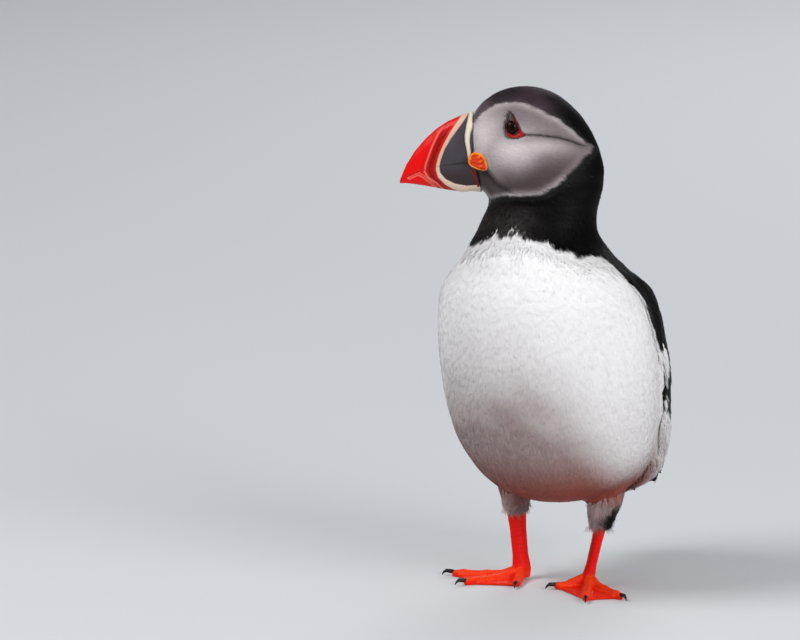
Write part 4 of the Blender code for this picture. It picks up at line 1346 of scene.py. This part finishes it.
def rounded(loop, times):
    """An outline with its corners cut again and again."""
    loop = np.array(loop, float)
    for _ in range(times):
        after = np.roll(loop, -1, 0)
        loop = np.stack([0.75 * loop + 0.25 * after, 0.25 * loop + 0.75 * after], 1).reshape(-1, 2)
    return loop


def surface_out(forward, up, sign):
    """How far out to the side the skin, bill or eyeball lies at a place on the side of the head. Near the
    mouth, where skin and bill make steps, the highest place close by counts."""
    out = 0.0
    step = 0.7
    near = ((0, 0), (step, 0), (-step, 0), (0, step), (0, -step)) if forward > 24 else ((0, 0),)
    for ahead, higher in near:
        start = Vector(on_head(forward + ahead, sign * 40, up + higher))
        for tree in (skin_tree, *horn_trees):
            hit = tree.ray_cast(start, Vector(-sign * LEFT))[0]
            if hit:
                out = max(out, sign * head_place(np.array(hit))[1])
    left = EYE_RADIUS**2 - (forward - EYE[0]) ** 2 - (up - EYE[2]) ** 2
    if left > 0:
        out = max(out, EYE[1] + math.sqrt(left))
    return max(out, np.interp(forward, *SADDLE))


def raised(name, loops, sign, cap=True):
    """A low shape on the side of the head through nested outlines, each with its height above the surface."""
    bm = bmesh.new()
    rows = [
        [bm.verts.new(on_head(f, sign * (surface_out(f, u, sign) + height), u)) for f, u in outline]
        for outline, height in loops
    ]
    for one, two in zip(rows[:-1], rows[1:]):
        for i in range(len(one)):
            j = (i + 1) % len(one)
            bm.faces.new((one[i], one[j], two[j], two[i]))
    if cap:
        bm.faces.new(rows[-1])
    bmesh.ops.recalc_face_normals(bm, faces=bm.faces)
    outward = sum(f.normal.dot(Vector(sign * LEFT)) * f.calc_area() for f in bm.faces)
    if outward < 0:
        bmesh.ops.reverse_faces(bm, faces=bm.faces)
    mesh = bpy.data.meshes.new(name)
    bm.to_mesh(mesh)
    bm.free()
    piece = add_object(name, mesh)
    apply_modifier(piece, "SUBSURF", levels=1)
    return piece


def nested(loop, rows):
    """The outline drawn in to each share of its size, with the height that goes with it."""
    middle = loop.mean(0)
    return [(middle + (loop - middle) * share, height) for share, height in rows]


# %% Gape rosettes
SIDES = (("left", 1), ("right", -1))
ROSETTE_ROWS = (
    (0.96, -0.8), (1.03, 0.2), (1.02, 0.9), (0.95, 1.35), (0.86, 1.3), (0.76, 1.15), (0.66, 1.2),
    (0.54, 1.3), (0.42, 1.4), (0.28, 1.45), (0.12, 1.5),
)
FAN = (36.5, 206.6)  # the place on the mouth that the ribs fan out from
RIBS = 19
for side, sign in SIDES:
    loop = rounded(ROSETTE, 3)
    piece = raised("gape_" + side, nested(loop, ROSETTE_ROWS), sign)
    rose_co, rose_no, _ = arrays(piece.data)
    f, l, u = head_place(rose_co)
    deep = inside(loop, f, u)
    turn, far = np.arctan2(u - FAN[1], FAN[0] - f), np.hypot(u - FAN[1], FAN[0] - f)
    ribs = np.cos(turn * RIBS + 0.9 * np.sin(far * 1.3))
    move = 0.26 * ribs * eased(0.5, 1.3, deep) + 0.12 * np.sin(far * 3.1 + turn * 4) * eased(0.8, 1.6, deep)
    set_places(piece.data, rose_co + rose_no * (move * MM)[:, None])
    ragged_rim = deep + 0.3 * np.sin(turn * 9 + 2 * np.sin(turn * 4))
    colour = np.tile(linear("#d93a05"), (len(f), 1))
    colour = blend(colour, linear("#a52003"), 0.5 * eased(0.1, -0.8, ribs))
    top_of_ribs = eased(0.3, 0.9, ribs) * eased(0.5, 0.9, np.sin(far * 1.1 + turn))
    colour = blend(colour, linear("#ff8a0a"), 0.55 * top_of_ribs)
    colour = blend(colour, linear("#ff9a0c"), 0.85 * eased(0.8, 0.4, ragged_rim))
    finish_piece(piece, colour, SOFT_SKIN, "rosette_skin", "rosette_" + side)
    print(piece.name, len(piece.data.polygons), "faces")

# %% [markdown]
# ## Eyes
# A dark brown, nearly black eye under a glassy cornea. Red bare skin rings it, drawn up to a point over a
# small grey horny plate above and running along a second, flatter plate below. A museum eye is a glass
# cap; a whole ball is as easy, since the skin has no hole and the ring hides where they meet.

# %% Eyeballs
for side, sign in SIDES:
    bpy.ops.object.select_all(action="DESELECT")
    bpy.ops.mesh.primitive_uv_sphere_add(segments=48, ring_count=32, radius=EYE_RADIUS * MM)
    ball = bpy.context.object
    ball.name = "eyeball_" + side
    turned = Vector(sign * LEFT).to_track_quat("Z", "Y").to_matrix().to_4x4()
    turned.translation = Vector(on_head(EYE[0], sign * EYE[1], EYE[2]))
    ball.data.transform(turned)
    ball.matrix_world.identity()
    f, _, u = head_place(read(ball.data.vertices, "co", 3))
    off = np.hypot(f - EYE[0], u - EYE[2])
    iris = eased(1.3, 1.5, off) * eased(2.7, 2.3, off)
    colour = blend(np.tile(linear("#070504"), (len(f), 1)), linear("#24120c"), iris)
    finish_piece(ball, colour, EYE_GLOSS, "eye", "eye_" + side)
print("eyeballs", 2 * EYE_RADIUS, "mm across")

# %% Red rings and horny plates
RING_ROWS = ((0, -0.4), (0.06, 0.35), (0.3, 0.62), (0.6, 0.66), (0.88, 0.45), (1, 0.05))
PLATE_ROWS = ((1, 0.1), (0.95, 0.7), (0.6, 0.95), (0.2, 1.0))
centre = np.array((EYE[0], EYE[2]))
for side, sign in SIDES:
    outer, hole = rounded(RING, 2) + centre, rounded(OPENING, 2) + centre
    rows = [(outer * (1 - share) + hole * share, height) for share, height in RING_ROWS]
    ring = raised("eye_ring_" + side, rows, sign, cap=False)
    f, _, u = head_place(read(ring.data.vertices, "co", 3))
    f, u = f - EYE[0], u - EYE[2]
    colour = np.tile(linear("#a80d10"), (len(f), 1))
    colour = blend(colour, linear("#3d0b0c"), 0.85 * eased(-1.5, 2.2, u))
    colour = blend(colour, linear("#2a0d0c"), 0.85 * eased(1.2, 2.2, f) * eased(0.2, 1.6, u))
    colour = blend(colour, linear("#3a0b0a"), 0.8 * eased(0.4, 0.1, np.abs(inside(OPENING, f, u))))
    finish_piece(ring, colour, LID, "rosette_skin")
    for name, outline, tint, rim in (
        ("eye_plate_", PLATE, "#3d3639", "#120d0e"),
        ("eye_bar_", LOWER_PLATE, "#a81a18", "#6b0f0e"),
    ):
        loop = rounded(outline, 2) + centre
        plate = raised(name + side, nested(loop, PLATE_ROWS), sign)
        f, _, u = head_place(read(plate.data.vertices, "co", 3))
        edge = eased(0.35, 0.1, inside(loop, f, u))
        colour = blend(np.tile(linear(tint), (len(f), 1)), linear(rim), edge)
        finish_piece(plate, colour, LID, "rosette_skin")
    print("eye ring", side, len(ring.data.polygons), "faces")

# %% [markdown]
# ## Claws
# Black, curved and blunt, with a soft sheen where they are worn. The solid claws are plain cones, so they
# are melted smooth and then drawn out: the rear goes back into the toe, the front forward to a point.

# %% Claws
for n in [n for n in nodes if n.startswith("claw_")]:
    piece = melted([n], n.replace("claw", "nail"), 0.0, HORN_VOXEL, 4)
    claw_co = read(piece.data.vertices, "co", 3)
    side, toe = n.split("_")[1:]
    heading = math.radians(TOES[side][("inner", "middle", "outer").index(toe)][0])
    way = np.array((math.sin(heading), -math.cos(heading), 0.0))
    along = claw_co / MM @ way
    rear = eased(np.percentile(along, 45), along.min(), along)
    front = np.maximum(along - np.percentile(along, 30), 0)
    claw_co = claw_co - way * ((rear * 1.9 + front * 0.28) * MM)[:, None]
    claw_co[:, 2] = np.maximum(claw_co[:, 2], 0)
    set_places(piece.data, claw_co)
    finish_piece(piece, np.tile(linear("#120e0d"), (len(claw_co), 1)), CLAW, "claw_horn", n)

# %% [markdown]
# ## Floor, light and camera
# A museum model is judged in even light. One bare lamp would cut the white breast in half, so a large soft
# light stands high on the left, a weaker one opposite, and a third behind to draw the dark outline. The
# floor is wide enough to fade into the pale room. The camera stands far off, which keeps the proportions
# of the body true.

# %% Floor
bpy.ops.object.select_all(action="DESELECT")
bpy.ops.mesh.primitive_plane_add(size=60)
floor = bpy.context.object
floor.name = "floor"
# Matt painted board: pale and without shine, so it takes only the soft shadow.
ground = new_material("pale floor")
board = node(ground, "BsdfPrincipled", {"Base Color": (0.665, 0.685, 0.705, 1), "Roughness": 0.9})
floor.data.materials.append(finish_material(ground, board))

world = bpy.data.worlds.new("studio")
world.use_nodes = True
world.node_tree.nodes["Background"].inputs[0].default_value = (0.60, 0.63, 0.66, 1)
world.node_tree.nodes["Background"].inputs[1].default_value = 0.41
bpy.context.scene.world = world
print("floor", round(floor.dimensions.x), "m wide")

# %% Light and camera
AZIMUTH, ELEVATION, DISTANCE = math.radians(27), math.radians(12), 8.0
SENSOR, FIELD = 36, 0.3706  # width of the sensor in millimetres, and of the view in metres
AIM = (-0.0723, 0.1242, 0.03)  # right of, above and in front of the spot between the feet, in metres
level = math.cos(ELEVATION)
toward = Vector((math.sin(AZIMUTH) * level, -math.cos(AZIMUTH) * level, math.sin(ELEVATION)))
right = Vector((math.cos(AZIMUTH), math.sin(AZIMUTH), 0))
above = toward.cross(right)
look_at = right * AIM[0] + above * AIM[1] + toward * AIM[2] + Vector(STAND * MM)
LIT = Vector((0, 0, 0.12))


def light(name, place, size, power):
    """A round soft light at this place, turned to the middle of the bird."""
    data = bpy.data.lights.new(name, "AREA")
    data.shape, data.size, data.energy = "DISK", size, power
    lamp = bpy.data.objects.new(name, data)
    bpy.context.scene.collection.objects.link(lamp)
    lamp.location = place
    lamp.rotation_euler = (LIT - place).to_track_quat("-Z", "Y").to_euler()


light("key", toward * 0.75 - right * 1.1 + above * 1.3, 0.9, 18)
light("fill", toward * 1.3 + right * 1.0 + above * 0.45, 1.1, 16.5)
light("rim", toward * -1.2 + right * 0.4 + above * 1.2, 0.9, 7)

camera_data = bpy.data.cameras.new("camera")
camera_data.sensor_width = SENSOR
camera_data.lens = DISTANCE * SENSOR / FIELD
camera_data.clip_end = 100
camera = bpy.data.objects.new("camera", camera_data)
bpy.context.scene.collection.objects.link(camera)
camera.location = look_at + toward * DISTANCE
camera.rotation_euler = toward.to_track_quat("Z", "Y").to_euler()
bpy.context.scene.camera = camera
bpy.context.scene.view_settings.view_transform = "Standard"
print("camera", round(camera_data.lens), "mm lens at", DISTANCE, "m")
